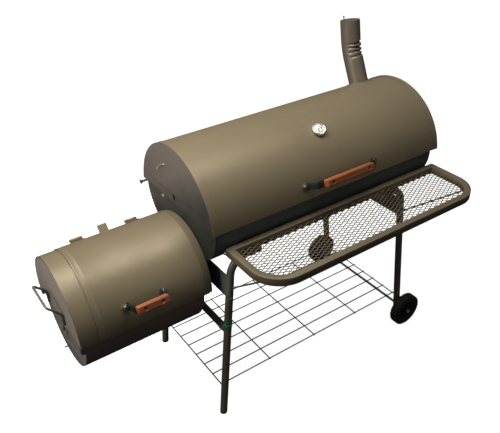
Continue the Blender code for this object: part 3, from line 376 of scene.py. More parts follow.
def coloured(ob, material):
    ob.data.materials.clear()
    ob.data.materials.append(material)
    return ob


def lined(ob, radius=0.0, axis_z=0.0, way=0):
    """Sooty inside: the faces within that radius of an axis along X, or those that face that way along X."""
    ob.data.materials.append(SOOT)
    for face in ob.data.polygons:
        inner = math.hypot(face.center.y, face.center.z - axis_z) < radius
        if inner or face.normal.x * way > 0.5:
            face.material_index = 1
    return ob


def cut(base, *others):
    for other in others:
        mod = base.modifiers.new("cut", "BOOLEAN")
        mod.solver = "EXACT"
        mod.operation = "DIFFERENCE"
        mod.object = other
        base = baked(base)
        bpy.data.objects.remove(other)
    return base


def block(low, high, bevel=0.0008, segments=2):
    low, high = Vector(low), Vector(high)
    mesh = bpy.data.meshes.new("block")
    bm = bmesh.new()
    bmesh.ops.create_cube(bm, size=1.0)
    bm.to_mesh(mesh)
    bm.free()
    mesh.transform(Matrix.Translation((low + high) / 2) @ Matrix.Diagonal((*(high - low), 1.0)))
    return bevelled(add("block", mesh), bevel, segments)


def lathe(profile, matrix, steps=48):
    """Profile of (radius, height) turned about matrix's Z."""
    mesh = bpy.data.meshes.new("lathe")
    points = [(r, 0.0, h) for r, h in profile]
    mesh.from_pydata(points, [(i, i + 1) for i in range(len(points) - 1)], [])
    ob = add("lathe", mesh)
    mod = ob.modifiers.new("turn", "SCREW")
    mod.axis = "Z"
    mod.steps = steps
    mod.render_steps = steps
    mod.use_merge_vertices = True
    mod.merge_threshold = 1e-5
    ob.matrix_world = matrix
    return baked(ob, 30.0)


def out_of(point, direction):
    """Frame at a point with Z along the direction."""
    return Matrix.Translation(point) @ Vector(direction).to_track_quat("Z", "Y").to_matrix().to_4x4()


def rod(a, b, radius, sides=24, edge=0.0005):
    """Round bar from a to b with softened ends."""
    a, b = Vector(a), Vector(b)
    long = (b - a).length
    edge = min(edge, radius / 2, long / 3)
    mid = edge * 0.3
    profile = [(0, 0), (radius - edge, 0), (radius - mid, mid), (radius, edge), (radius, long - edge),
               (radius - mid, long - mid), (radius - edge, long), (0, long)]
    return lathe(profile, out_of(a, b - a), sides)


def bolt(point, direction, radius, height, material, washer=0.0):
    """Domed round head standing on a surface, with a washer under it if asked."""
    at = out_of(point, direction)
    dome = [(radius * math.cos(math.radians(t)), height * (0.25 + 0.75 * math.sin(math.radians(t))))
            for t in range(0, 91, 15)]
    obs = [lathe([(0, 0), (radius, 0)] + dome, at, 24)]
    if washer:
        ring = [(0, -0.0004), (washer, -0.0004), (washer, 0.0009), (washer - 0.0005, 0.0013), (0, 0.0013)]
        obs.append(lathe(ring, at, 28))
    return [coloured(ob, material) for ob in obs]


def hexed(point, direction, radius, height, material):
    """Hex head or nut with chamfered corners."""
    at = out_of(point, direction)
    nut = lathe([(0, 0), (radius, 0), (radius, height), (0, height)], at, 6)
    for face in nut.data.polygons:
        face.use_smooth = False
    return coloured(bevelled(nut, radius * 0.08), material)


def tube(points, radius, sides=20, wall=None):
    """Round bar or, with a wall, an open tube along the points."""
    curve = bpy.data.curves.new("tube", "CURVE")
    curve.dimensions = "3D"
    curve.bevel_depth = radius
    curve.bevel_resolution = (sides - 4) // 2
    curve.use_fill_caps = wall is None
    curve.twist_mode = "MINIMUM"
    line = curve.splines.new("POLY")
    line.points.add(len(points) - 1)
    for i, p in enumerate(points):
        line.points[i].co = (*p, 1.0)
    ob = baked(add("tube", curve))
    if wall:
        mod = ob.modifiers.new("wall", "SOLIDIFY")
        mod.thickness = wall
        mod.offset = -1.0
        ob = baked(ob)
    return ob


def plate(loops, thick, matrix, bevel=0.0004):
    """Flat plate with softened edges: the first loop is the outline, the rest are holes."""
    curve = bpy.data.curves.new("plate", "CURVE")
    curve.dimensions = "2D"
    curve.fill_mode = "BOTH"
    curve.extrude = thick / 2 - bevel
    curve.bevel_depth = bevel
    curve.bevel_resolution = 1
    curve.offset = -bevel
    for loop in loops:
        line = curve.splines.new("POLY")
        line.points.add(len(loop) - 1)
        for i, p in enumerate(loop):
            line.points[i].co = (p[0], p[1], 0.0, 1.0)
        line.use_cyclic_u = True
    ob = add("plate", curve)
    ob.matrix_world = matrix
    return baked(ob, 30.0)


def facing_x(x):
    """Plane across X: local X is world Y and local Y is world Z."""
    return Matrix(((0, 0, 1, x), (1, 0, 0, 0), (0, 1, 0, 0), (0, 0, 0, 1)))


def arc(radius, start, stop, steps, centre=(0.0, 0.0)):
    found = []
    for i in range(steps + 1):
        t = math.radians(start + (stop - start) * i / steps)
        found.append((centre[0] + radius * math.cos(t), centre[1] + radius * math.sin(t)))
    return found


def about_x(radius, degrees, axis_z, x=0.0):
    """Point at that angle from straight up, towards the front, round an axis along X."""
    t = math.radians(degrees)
    return Vector((x, -radius * math.sin(t), axis_z + radius * math.cos(t)))


def swept(profile, first, last, axis_z, steps=96):
    """Closed profile of (x, radius) carried round an axis along X, with flat ends."""
    count = len(profile)
    points, faces = [], []
    for i in range(steps + 1):
        t = first + (last - first) * i / steps
        for x, r in profile:
            points.append(about_x(r, t, axis_z, x))
    for i in range(steps):
        for j in range(count):
            a, b = i * count + j, i * count + (j + 1) % count
            faces.append((a, b, b + count, a + count))
    faces.append(tuple(range(count)))
    faces.append(tuple(range(steps * count, steps * count + count))[::-1])
    mesh = bpy.data.meshes.new("swept")
    mesh.from_pydata(points, [], faces)
    return baked(add("swept", mesh), 30.0)


def sheet(x0, x1, radius, thick, stations=(), beads=()):
    """Profile of rolled sheet: flat runs, raised beads as (x, half width, height), softened outer edges."""
    soft = min(0.0005, thick / 3)
    outer = [(x0, radius - soft), (x0 + soft, radius)]
    marks = [(x, 0.0) for x in stations]
    for x, half, high in beads:
        bump = ((-1, 0.0), (-0.5, 0.8), (0, 1), (0.5, 0.8), (1, 0.0))
        marks += [(x + half * k, high * rise) for k, rise in bump]
    outer += [(x, radius + h) for x, h in sorted(marks)]
    outer += [(x1 - soft, radius), (x1, radius - soft)]
    return outer + [(x1, radius - thick), (x0, radius - thick)]


def half_loop(radius, axis_z, edge_z, above, steps=72):
    """Outline of the disc's part above or below an edge."""
    lean = math.degrees(math.asin((edge_z - axis_z) / radius))
    first, last = (lean, 180 - lean) if above else (180 - lean, 360 + lean)
    return arc(radius, first, last, steps, (0.0, axis_z))


def disc_angle(radius, axis_z, edge_z):
    """Angle from straight up at which a barrel meets its split."""
    return math.degrees(math.acos((edge_z - axis_z) / radius))


def slot_loop(y0, y1, half, lean=0.0, steps=10):
    """Outline of a slot with round ends, leaning about the origin."""
    low = arc(half, 180, 360, steps, (0.0, y0 + half))
    high = arc(half, 0, 180, steps, (0.0, y1 - half))
    c, s = math.cos(math.radians(lean)), math.sin(math.radians(lean))
    return [(a * c - b * s, a * s + b * c) for a, b in low + high]


def trough_arc(inset, steps=72):
    """Section of the chamber's trough, from its rear edge down and up to its front edge."""
    half, deep = BODY_HALF - inset, BODY_DEEP - inset
    rise = math.degrees(math.asin((BODY_EDGE - BODY_Z) / deep))
    found = []
    for i in range(steps + 1):
        t = math.radians(180 - rise + (180 + 2 * rise) * i / steps)
        found.append((half * math.cos(t), BODY_Z + deep * math.sin(t)))
    return found


def show(name, obs, body, slot, *nodes):
    """Joins the objects into the named piece, which rides on a body and stands for those CAD nodes."""
    ob = merged(name, obs if isinstance(obs, list) else [obs])
    ob.data.transform(Matrix.Translation(SHIFT))
    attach(ob, body)
    if nodes:
        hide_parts(*nodes)
    return ob


def keep(material, *names):
    """Shows CAD nodes as they are, with a finished material."""
    for name in names:
        coloured(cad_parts[name], material)


# Chamber lid.

def make_lid():
    skin_r = LID_R - 0.0010
    edge = disc_angle(LID_R, AXIS_Z, LID_EDGE)
    stations = (0.1, 0.2, 0.3, 0.4, 0.44, 0.51, 0.6, 0.7, 0.79, 0.91)
    skin = swept(sheet(0.0018, LID_LEN - 0.0018, skin_r, SHEET, stations), -edge, edge, AXIS_Z, 128)
    way = about_x(1.0, FLUE_DEG, 0.0)
    at = about_x(LID_R, FLUE_DEG, AXIS_Z, FLUE_X)
    dial_at, dial_way = about_x(skin_r, DIAL_DEG, AXIS_Z, DIAL_X), about_x(1.0, DIAL_DEG, 0.0)
    skin = cut(skin, rod(at - 0.03 * way, at + 0.03 * way, FLUE_R + 0.0006, 48),
               rod(dial_at - 0.02 * dial_way, dial_at + 0.02 * dial_way, 0.0046, 16))
    skin = lined(coloured(skin, OLIVE), LID_R - 0.0025, AXIS_Z)
    show("lid_skin", skin, "chamber_lid", "olive_paint", "chamber_lid_skin")

    cap_r = LID_R + 0.0005
    lean = disc_angle(cap_r, AXIS_Z, LID_EDGE)
    for side in ("left", "right"):
        loops = [half_loop(cap_r - 0.0002, AXIS_Z, LID_EDGE, True)]
        if side == "left":
            loops.append([(y + 0.0095, z) for y, z in slot_loop(AXIS_Z + 0.0370, AXIS_Z + 0.0605, 0.0055)])
        disc = plate(loops, 0.0015, facing_x(0.00075 if side == "left" else LID_LEN - 0.00075))
        # The left disc darkens towards its lower front: painted shade.
        disc = lined(coloured(disc, PAINTED_SHADE_END if side == "left" else OLIVE), way=1 if side == "left" else -1)
        a, b = (0.0, 0.021) if side == "left" else (LID_LEN - 0.021, LID_LEN)
        band = coloured(swept(sheet(a, b, cap_r, 0.0012), -lean, lean, AXIS_Z, 128), OLIVE)
        obs = [disc, band]
        if side == "left":
            spot = (0.0, 0.1060, AXIS_Z + 0.1128)
            # Bolt and bent wire in pale paint: painted glint.
            obs += bolt(spot, (-1, 0, 0), 0.0040, 0.0024, PALE_GLINT)
            whisker = []
            for i in range(13):
                rise = 0.036 * math.sin(1.5 * i / 12)
                whisker.append(Vector((-0.0016, 0.104 - 0.055 * i / 12, AXIS_Z + 0.1145 + rise)))
            obs.append(coloured(tube(whisker, 0.0011, 8), PALE_GLINT))
        else:
            # Thin dark strip beside the right band: painted shade of the groove at the seam.
            seam_shade = sheet(a - 0.0009, a, cap_r - 0.0003, 0.0009)
            obs.append(coloured(swept(seam_shade, -lean + 0.3, lean - 0.3, AXIS_Z, 128), INK_AND_SEAM_SHADE))
        show("lid_end_" + side, obs, "chamber_lid", "olive_paint", "lid_cap_" + side)


def grip_frame(deg, radius, axis_z):
    """Frame on a rolled lid: local X is world X, local Y points away from it and local Z runs up it."""
    t = math.radians(deg)
    away, up = Vector((0, -math.sin(t), math.cos(t))), Vector((0, math.cos(t), math.sin(t)))
    base = Vector((0, 0, axis_z)) + radius * away
    turn = Matrix(((1, 0, 0, 0), (0, away.y, up.y, 0), (0, away.z, up.z, 0), (0, 0, 0, 1)))
    return Matrix.Translation(base) @ turn


def rounded(points, radius, steps=4):
    """Open line of points with its corners rounded."""
    found = [Vector(points[0])]
    for i in range(1, len(points) - 1):
        before, here, after = (Vector(points[i + k]) for k in (-1, 0, 1))
        a = here + (before - here).normalized() * min(radius, (before - here).length * 0.45)
        b = here + (after - here).normalized() * min(radius, (after - here).length * 0.45)
        for k in range(steps + 1):
            s = k / steps
            found.append((1 - s) ** 2 * a + 2 * s * (1 - s) * here + s * s * b)
    found.append(Vector(points[-1]))
    return found


def ribbon(line, thick):
    """Outline of a bent strip of that thickness round an open line of (x, y) points."""
    left, right = [], []
    for i, p in enumerate(line):
        a, b = line[max(0, i - 1)], line[min(len(line) - 1, i + 1)]
        way = (b - a).normalized()
        side = Vector((-way.y, way.x)) * thick / 2
        left.append(p + side)
        right.append(p - side)
    return [tuple(p) for p in left + right[::-1]]


def make_handle(name, body, deg, axis_z, radius, hole0, hole1, foot, rise0, rise1, face, plain):
    """Wood grip held off the lid by two bent straps with a bolt at each foot.

    hole0 and hole1 are the x of the grip's screws and face is its outer side's height over the lid. Past each
    hole, the strap leaves the grip at rise1, reaches the lid at rise0 and is bolted to it at foot.
    """
    end = 0.0230
    at = grip_frame(deg, radius, axis_z)
    out = at.to_3x3() @ Vector((0, 1, 0))
    top = face - GRIP - 0.0003
    for side, sign, hole in (("left", -1, hole0), ("right", 1, hole1)):
        mid = STRAP_THICK / 2
        line = rounded([
            (hole + sign * foot, 0.0006 + mid), (hole + sign * rise0, 0.0006 + mid),
            (hole + sign * rise1, top - mid), (hole - sign * 0.010, top - mid)], 0.0045)
        strap = plate([ribbon(line, STRAP_THICK)], STRAP_WIDE, at, 0.0005)
        spot = at @ Vector((hole + sign * foot, 0.0033, 0))
        pad = rod(at @ Vector((hole + sign * foot, 0.0005, 0)), spot, STRAP_WIDE / 2, 32, 0.0004)
        obs = [coloured(strap, STRAP), coloured(pad, BRONZE)]
        obs += bolt(spot, out, 0.0056, 0.0040, DULL, 0.0088)
        show(f"{name}_strap_{side}", obs, body, "black_paint", f"{name}_bracket_{side}")
    mid, half = (hole0 + hole1) / 2, (hole1 - hole0) / 2 + end
    wood = block((mid - half, face - GRIP, -GRIP / 2), (mid + half, face, GRIP / 2), 0.0042, 4)
    wood.data.transform(at)
    screws = []
    for hole in (hole0, hole1):
        a, b = at @ Vector((hole, face - GRIP * 0.55, 0)), at @ Vector((hole, face + 0.01, 0))
        wood = cut(wood, rod(a, b, 0.0045, 24))
        low, high = at @ Vector((hole, face - 0.0022, 0)), at @ Vector((hole, face + 0.0040, 0))
        flare = [(0, 0), (0.0045, 0), (0.0105, 0.0062), (0, 0.0062)]
        wood = cut(wood, lathe(flare, out_of(low, high - low), 24))
        seat = at @ Vector((hole, face - GRIP * 0.50, 0))
        screws += bolt(seat, out, 0.0040, 0.0030 if plain else 0.0090, PLASTIC if plain else ZINC)
    show(f"{name}_wood", [coloured(wood, WOOD)] + screws, body, "wood", f"{name}_grip")


def make_dial():
    way = about_x(1.0, DIAL_DEG, 0.0)
    at = out_of(about_x(LID_R - 0.0010, DIAL_DEG, AXIS_Z, DIAL_X), way)
    rim = [(0, 0.0033), (0.0206, 0.0033), (0.0210, 0.0040), (0.0210, 0.0086), (0.0216, 0.0098),
           (0.0228, 0.0102), (0.0239, 0.0098), (0.0245, 0.0086), (0.0245, 0.0040), (0.0240, 0.0018),
           (0, 0.0018)]
    show("dial_rim", coloured(lathe(rim, at, 64), CHROME), "chamber_lid", "zinc", "thermometer_bezel")
    obs = [coloured(lathe([(0, 0.0048), (0.0207, 0.0048), (0.0207, 0.0038), (0, 0.0038)], at, 64), CREAM)]
    for i in range(33):
        turn = at @ Matrix.Rotation(math.radians(-120 + i * 240 / 32), 4, "Z")
        inner = 0.0155 if i % 4 == 0 else 0.0172
        tick = block((inner, -0.00025, 0.0047), (0.0190, 0.00025, 0.00495), 0.00005, 1)
        tick.data.transform(turn)
        obs.append(coloured(tick, INK_AND_SEAM_SHADE))
    for first, last, paint in ((-112, -40, INK_AND_SEAM_SHADE), (-30, 60, RUST)):
        loop = arc(0.0136, first, last, 24) + arc(0.0112, last, first, 24)
        obs.append(coloured(plate([loop], 0.0004, at @ Matrix.Translation((0, 0, 0.0049)), 0.00005), paint))
    show("dial_face", obs, "chamber_lid", "dial_face", "thermometer_dial")
    glass = lathe([(0, 0.0092), (0.0207, 0.0090), (0.0208, 0.0078), (0, 0.0080)], at, 64)
    show("dial_glass", coloured(glass, GLASS), "chamber_lid", "lens", "thermometer_lens")
    hand = [(0.0165, 0.0003), (0.004, 0.0011), (0.0, 0.0022), (-0.0060, 0.0012)]
    hand += [(a, -b) for a, b in hand[::-1]]
    turn = at @ Matrix.Rotation(math.radians(-120), 4, "Z")
    needle = coloured(plate([hand], 0.0006, turn @ Matrix.Translation((0, 0, 0.0058)), 0.0001), INK_AND_SEAM_SHADE)
    boss = coloured(lathe([(0, 0.0054), (0.0028, 0.0054), (0.0026, 0.0066), (0, 0.0070)], at, 24), ZINC)
    show("dial_hand", [needle, boss], "thermometer_needle", "needle", "thermometer_needle")
    low, high = at @ Vector((0, 0, -0.060)), at @ Vector((0, 0, 0.0015))
    nut = hexed(at @ Vector((0, 0, -0.0075)), way, 0.0080, 0.0049, ZINC)
    stem = coloured(rod(low, high, 0.0030, 20), ZINC)
    show("dial_stem", [stem, nut], "chamber_lid", "zinc", "thermometer_stem")


def crimp(along, around):
    """How far the elbow's pressed folds dent the pipe, as a share of its radius.

    along runs from 0 to 1 over the bend, and around is the angle from the pipe's front.
    """
    folds = ((0.12, 0.045, 0.14), (0.32, 0.042, 0.22), (0.53, 0.042, 0.24), (0.74, 0.045, 0.19))
    toward = max(0.0, math.cos(around - math.radians(26)))
    dent = 0.0
    for k, (place, wide, deep) in enumerate(folds):
        off = (along - place - 0.030 * math.sin(around * 2 + k * 1.9)) / wide
        dent += deep * math.exp(-off * off) * toward ** 0.6
    return dent


def make_flue():
    low_way, top_way = about_x(1.0, FLUE_DEG, 0.0), about_x(1.0, FLUE_TOP_DEG, 0.0)
    base = about_x(LID_R, FLUE_DEG, AXIS_Z, FLUE_X)
    bend = base + 0.1266 * low_way
    top = bend + 0.0998 * top_way
    reach, straight, curved, count = 0.040, 6, 48, 64
    start, a, c = base - 0.0055 * low_way, bend - reach * low_way, bend + reach * top_way
    line = [start + (a - start) * i / straight for i in range(straight)]
    for i in range(curved + 1):
        s = i / curved
        line.append((1 - s) ** 2 * a + 2 * s * (1 - s) * bend + s * s * c)
    line += [c + (top - c) * i / 5 for i in range(1, 6)]
    side = Vector((1, 0, 0))
    points, faces = [], []
    for i, p in enumerate(line):
        way = (line[min(i + 1, len(line) - 1)] - line[max(i - 1, 0)]).normalized()
        front = side.cross(way).normalized()
        for ring_r in (FLUE_R, FLUE_R - FLUE_WALL):
            for j in range(count):
                t = 2 * math.pi * j / count
                r = ring_r * (1 - crimp((i - straight) / curved, t))
                points.append(p + front * (r * math.cos(t)) + side * (r * math.sin(t)))
    wide = 2 * count
    for i in range(len(line) - 1):
        for j in range(count):
            a0, a1 = i * wide + j, i * wide + (j + 1) % count
            faces.append((a0, a1, a1 + wide, a0 + wide))
            b0, b1 = a0 + count, a1 + count
            faces.append((b1, b0, b0 + wide, b1 + wide))
    for i in (0, len(line) - 1):
        for j in range(count):
            a0, a1 = i * wide + j, i * wide + (j + 1) % count
            faces.append((a0, a1, a1 + count, a0 + count))
    mesh = bpy.data.meshes.new("flue")
    mesh.from_pydata(points, [], faces)
    pipe = coloured(baked(add("flue", mesh), 50.0), FLUE)
    cross = upright(top, top_way)
    lug = block((-0.0352, -0.005, -0.013), (-0.0245, 0.005, -0.009), 0.0004)
    lug.data.transform(cross)
    pin_low, pin_mid, pin_top = (cross @ Vector((FLUE_PIN_X, 0, z)) for z in (-0.016, 0.0, 0.017))
    lug = cut(lug, rod(pin_low, pin_mid, 0.0021, 16))
    show("flue_elbow", [pipe, coloured(lug, FLUE)], "chamber_lid", "olive_paint", "flue_pipe")

    lid = [(0, 0.0016), (FLUE_R - 0.0004, 0.0016), (FLUE_R, 0.0012), (FLUE_R, 0.0003), (0, 0.0003)]
    cap = coloured(lathe(lid, cross, 64), FLUE)
    stem = coloured(rod(pin_low, pin_top, 0.0018, 16), BLACK)
    knob = bolt(cross @ Vector((FLUE_PIN_X, 0, 0.0150)), top_way, 0.0034, 0.0055, BLACK)
    show("flue_lid", [cap, stem] + knob, "flue_cap", "olive_paint", "flue_cap")
    keep(OLIVE, "flue_collar")


def upright(point, up):
    """Frame at a point with local X along world X and local Z along the given way."""
    side = up.cross(Vector((1, 0, 0))).normalized()
    return Matrix.Translation(point) @ Matrix((
        (1, side.x, up.x, 0), (0, side.y, up.y, 0), (0, side.z, up.z, 0), (0, 0, 0, 1)))


# Chamber body and firebox.

def flame_port():
    """Outline of the opening where the firebox's disc and the chamber's trough overlap."""
    high, margin, half, steps = FB_R - 0.024, 0.018, 0.116, 24
    low, over = [], []
    for i in range(steps + 1):
        y = half * (1 - 2 * i / steps)
        over.append((y, FB_Z + math.sqrt(high * high - y * y)))
        wide = (BODY_DEEP - margin) * math.sqrt(1 - (y / (BODY_HALF - margin)) ** 2)
        low.append((y, BODY_Z - wide))
    return over + low[::-1]


def make_chamber():
    x0, x1 = BODY_X0 + 0.0023, BODY_X1 - 0.0023
    section = trough_arc(0.0) + trough_arc(SHEET)[::-1]
    obs = [coloured(plate([section], x1 - x0, facing_x((x0 + x1) / 2), 0.0003), BLACK)]
    for side in (-1, 1):
        ys = sorted((side * 0.2035, side * 0.2127))
        rail = block((x0 + 0.006, ys[0], RAIL_TOP - 0.0030), (x1 - 0.006, ys[1], RAIL_TOP), 0.0004)
        obs.append(coloured(rail, BLACK))
    show("chamber_trough", obs, "frame", "black_paint", "chamber_shell")
    outline = trough_arc(0.0)
    left = plate([outline, flame_port()], SHEET, facing_x(BODY_X0 + SHEET / 2))
    # Bolt head in pale paint: painted glint.
    head = bolt((BODY_X0, 0.1080, AXIS_Z + 0.0080), (-1, 0, 0), 0.0052, 0.0044, PALE_GLINT, 0.0072)
    # The left end plate darkens towards its lower front, near the firebox: painted shade.
    left = lined(coloured(left, PAINTED_SHADE_END), way=1)
    show("chamber_end_left", [left] + head, "frame", "olive_paint", "chamber_left_end")
    right = coloured(plate([outline], SHEET, facing_x(BODY_X1 - SHEET / 2)), BLACK)
    show("chamber_end_right", right, "frame", "black_paint", "chamber_right_end")
    nuts = [hexed((x, HINGE_Y, HINGE_Z), (way, 0, 0), 0.0078, 0.0060, BLACK)
            for x, way in ((-0.0022, -1), (LID_LEN + 0.0022, 1))]
    show("hinge_rod_nuts", nuts, "frame", "black_paint")


def vent_slot(lean):
    return [(y + VENT_Y, z + VENT_Z) for y, z in slot_loop(-0.080, -0.030, 0.0055, lean)]


def make_firebox():
    x0 = FB_X0 + 0.0103
    a, b = x0 + 0.0023, -0.0200 - 0.0023
    edge = disc_angle(FB_BODY_R, FB_Z, FB_EDGE + 0.010)
    obs = [coloured(swept(sheet(a, b, FB_BODY_R, SHEET), edge, 360 - edge, FB_Z), BROWN)]
    for side in (-1, 1):
        ys = sorted((side * 0.144, side * 0.1568))
        rail = block((a + 0.006, ys[0], FB_RAIL_TOP - 0.003), (b - 0.006, ys[1], FB_RAIL_TOP), 0.0004)
        obs.append(coloured(rail, BROWN))
    show("firebox_trough", obs, "frame", "black_paint", "firebox_shell")
    make_vent(x0)
    make_hood()
    make_bail()
    keep(BROWN, "firebox_right_end")
    keep(BLACK, "firebox_clip_front", "firebox_clip_rear")
    keep(BLACK, "lid_hinge_rod", "lid_strap_left", "lid_strap_right")
    keep(TAN, "firebox_lid_stop")
    keep(BRONZE, "firebox_hinge_leaf_left", "firebox_hinge_leaf_right")
    keep(BROWN, "firebox_hinge_base_left", "firebox_hinge_base_right")
    keep(IRON, "cooking_grate_left", "cooking_grate_right", "charcoal_grate")


def make_vent(x0):
    """Slotted end plate of the firebox and the damper that turns over its slots."""
    slots = [vent_slot(t) for t in VENT_LEANS]
    outline = half_loop(FB_BODY_R, FB_Z, FB_EDGE + 0.010, False)
    left = lined(coloured(plate([outline] + slots, SHEET, facing_x(x0 + SHEET / 2)), GREY), way=1)
    obs = [left, coloured(rod((x0 + 0.001, VENT_Y, VENT_Z), (x0 - 0.0040, VENT_Y, VENT_Z), 0.0030, 24), ZINC)]
    obs += bolt((x0 - 0.0021, VENT_Y, VENT_Z), (-1, 0, 0), 0.0065, 0.0024, ZINC)
    obs += bolt((x0, -0.0783, VENT_Z - 0.046), (-1, 0, 0), 0.0030, 0.0018, ZINC)
    show("firebox_end_left", obs, "frame", "grey_paint", "firebox_left_end")
    pivot = (VENT_Y, VENT_Z)
    fan = arc(0.106, 270 - 43, 270 + 43, 36, pivot) + arc(0.013, 40, 140, 14, pivot)
    bore = arc(0.0034, 0, 360, 20, pivot)[:-1]
    damper = coloured(plate([fan, bore] + slots, 0.0015, facing_x(x0 - 0.00105), 0.0003), GREY)
    pin_z = VENT_Z - 0.0975
    pin = coloured(rod((x0 - 0.001, VENT_Y, pin_z), (x0 - 0.019, VENT_Y, pin_z), 0.0024, 16), BLACK)
    show("vent_damper", [damper, pin], "air_vent", "grey_paint", "air_vent")


def make_hood():
    """Fixed hood of the firebox with the window that its lid covers, and the lid."""
    lean = disc_angle(FB_R, FB_Z, FB_EDGE)
    low, high = FB_X0 + 0.0005, FB_X1 - 0.0024
    stations = (FB_LID_X0 + 0.006, -0.25, -0.13, FB_LID_X1 - 0.006)
    hood = swept(sheet(low, high, FB_R, SHEET, stations), -lean, lean, FB_Z, 112)
    a, b = FB_LID_X0 + 0.010, FB_LID_X1 - 0.010
    window = [(a, FB_R + 0.02), (b, FB_R + 0.02), (b, FB_R - 0.03), (a, FB_R - 0.03)]
    hood = cut(hood, swept(window, -FB_HINGE_DEG, lean + 8, FB_Z, 48))
    outline = half_loop(FB_R - 0.0003, FB_Z, FB_EDGE + 0.0004, True)
    disc = plate([outline], SHEET, facing_x(FB_X0 + SHEET / 2), 0.0007)
    rim = swept(sheet(FB_X0, FB_X0 + 0.0016, FB_R + 0.0003, 0.0040), -lean, lean, FB_Z, 112)
    hood = lined(coloured(hood, OLIVE), FB_R - 0.0015, FB_Z)
    # The end disc takes the lighter copy of the olive paint: painted side light.
    disc = lined(coloured(disc, HOOD_END_LIT), way=1)
    show("firebox_cover", [hood, disc, coloured(rim, OLIVE)], "frame", "olive_paint", "firebox_hood")

    beads = ((FB_LID_X0 + 0.0045, 0.0018, 0.0004), (FB_LID_X0 + 0.0190, 0.0020, 0.0004),
             (FB_LID_X1 - 0.0140, 0.0020, 0.0003))
    last = disc_angle(FB_LID_R, FB_Z, FB_EDGE)
    cover = sheet(FB_LID_X0, FB_LID_X1, FB_LID_R, SHEET, stations[1:3], beads)
    cover = swept(cover, -FB_HINGE_DEG + 0.7, last, FB_Z, 112)
    # Thin dark strip at the lid's left edge: painted shade of the gap at the seam.
    seam_shade = sheet(FB_LID_X0 - 0.0008, FB_LID_X0, FB_LID_R - 0.0004, 0.0014)
    seam_shade = swept(seam_shade, -FB_HINGE_DEG + 1.0, last - 0.3, FB_Z, 112)
    cover = lined(coloured(cover, OLIVE), FB_LID_R - 0.0015, FB_Z)
    show("firebox_cover_lid", [cover, coloured(seam_shade, INK_AND_SEAM_SHADE)], "firebox_lid", "olive_paint", "firebox_lid")


def make_bail():
    """Bent wire handle on the firebox's end."""
    wire = 0.0040
    tail_x = FB_X0 - wire - 0.0003
    half = [(tail_x, 0.0650, AXIS_Z - 0.1960), (tail_x, 0.0650, AXIS_Z - 0.1560),
            (-0.4470, 0.0640, AXIS_Z - 0.1390), (-0.4705, 0.0620, AXIS_Z - 0.1161),
            (-0.4705, 0.0, AXIS_Z - 0.1161)]
    line = rounded(half, 0.010, 5)[:-1]
    line += [Vector((p.x, -p.y, p.z)) for p in line[::-1]]
    show("firebox_bail", coloured(tube(line, wire, 20), TUBE), "frame", "black_paint", "firebox_end_handle")


# Stand.

def leg_line():
    """Middle line of the front left leg, from the floor up and round to its end under the chamber."""
    top, bend_r, end_x = AXIS_Z - 0.0850, 0.065, 0.170
    corner_x = LEG_FOOT_X + LEG_LEAN * top
    lean = math.degrees(math.atan(LEG_LEAN))
    turn = 90 - lean
    short = bend_r * math.tan(math.radians(turn / 2))
    centre = (corner_x + short, top - bend_r)
    bend = []
    for i in range(17):
        t = math.radians(180 - lean - turn * i / 16)
        bend.append((centre[0] + bend_r * math.cos(t), centre[1] + bend_r * math.sin(t)))
    flat = [(LEG_FOOT_X + LEG_LEAN * 0.006, 0.006)] + bend + [(end_x, top)]
    return [Vector((x, -(0.2205 - 0.0050 * min(1.0, z / top)), z)) for x, z in flat]


def placed(point, left, front):
    """The same point on another leg."""
    return Vector((point.x if left else 2 * MID_X - point.x, point.y if front else -point.y, point.z))


def make_stand():
    line = leg_line()
    for left in (True, False):
        for front in (True, False):
            points = [placed(p, left, front) for p in line]
            if not left:
                points[0] = points[0] + (points[1] - points[0]).normalized() * 0.042
            name = ("front" if front else "rear") + ("_left" if left else "_right")
            obs = [coloured(tube(points, TUBE_R, 28, 0.0018), TUBE)]
            tip = points[-1]
            out = -1 if front else 1
            for off in (0.030, 0.075):
                x = tip.x - off if left else tip.x + off
                shank = rod((x, tip.y - out * 0.0120, tip.z), (x, out * 0.1850, tip.z), 0.0050, 20)
                obs.append(coloured(shank, ZINC))
                obs.append(hexed((x, tip.y + out * 0.0128, tip.z), (0, out, 0), 0.0062, 0.0036, BLACK))
            mid = points[0] + (points[1] - points[0]) * 0.86
            if front:
                obs += bolt(mid + Vector((0, -TUBE_R, 0)), (0, -1, 0), 0.0058, 0.0040, BLACK if left else TAN)
            show("stand_leg_" + name, obs, "frame", "black_paint", "leg_" + name)
    keep(BLACK, "cradle_left", "cradle_right")
    keep(PLASTIC, "foot_cap_front", "foot_cap_rear")
    x = LEG_FOOT_X + LEG_LEAN * TIE_Z
    bar = coloured(rod((x, -0.2060, TIE_Z), (x, 0.2060, TIE_Z), 0.0120, 28), TUBE)
    bright = bolt((x - 0.0118, -0.1880, TIE_Z), (-1, 0, 0), 0.0052, 0.0034, ZINC)
    show("stand_tie", [bar] + bright, "frame", "black_paint", "tie_tube")
    make_tape(line[0], line[1])

    obs = [coloured(rod((AXLE_X, -0.2900, WHEEL_R), (AXLE_X, 0.2900, WHEEL_R), 0.0050, 28), ZINC)]
    for sign in (-1, 1):
        obs.append(hexed((AXLE_X, sign * 0.2817, WHEEL_R), (0, sign, 0), 0.0084, 0.0062, ZINC))
        stop = rod((AXLE_X, sign * 0.2368, WHEEL_R), (AXLE_X, sign * 0.2448, WHEEL_R), 0.0085, 24)
        obs.append(coloured(stop, BLACK))
    show("stand_axle", obs, "frame", "black_paint", "axle")
    keep(TUBE, "shelf_brace_left", "shelf_brace_right")


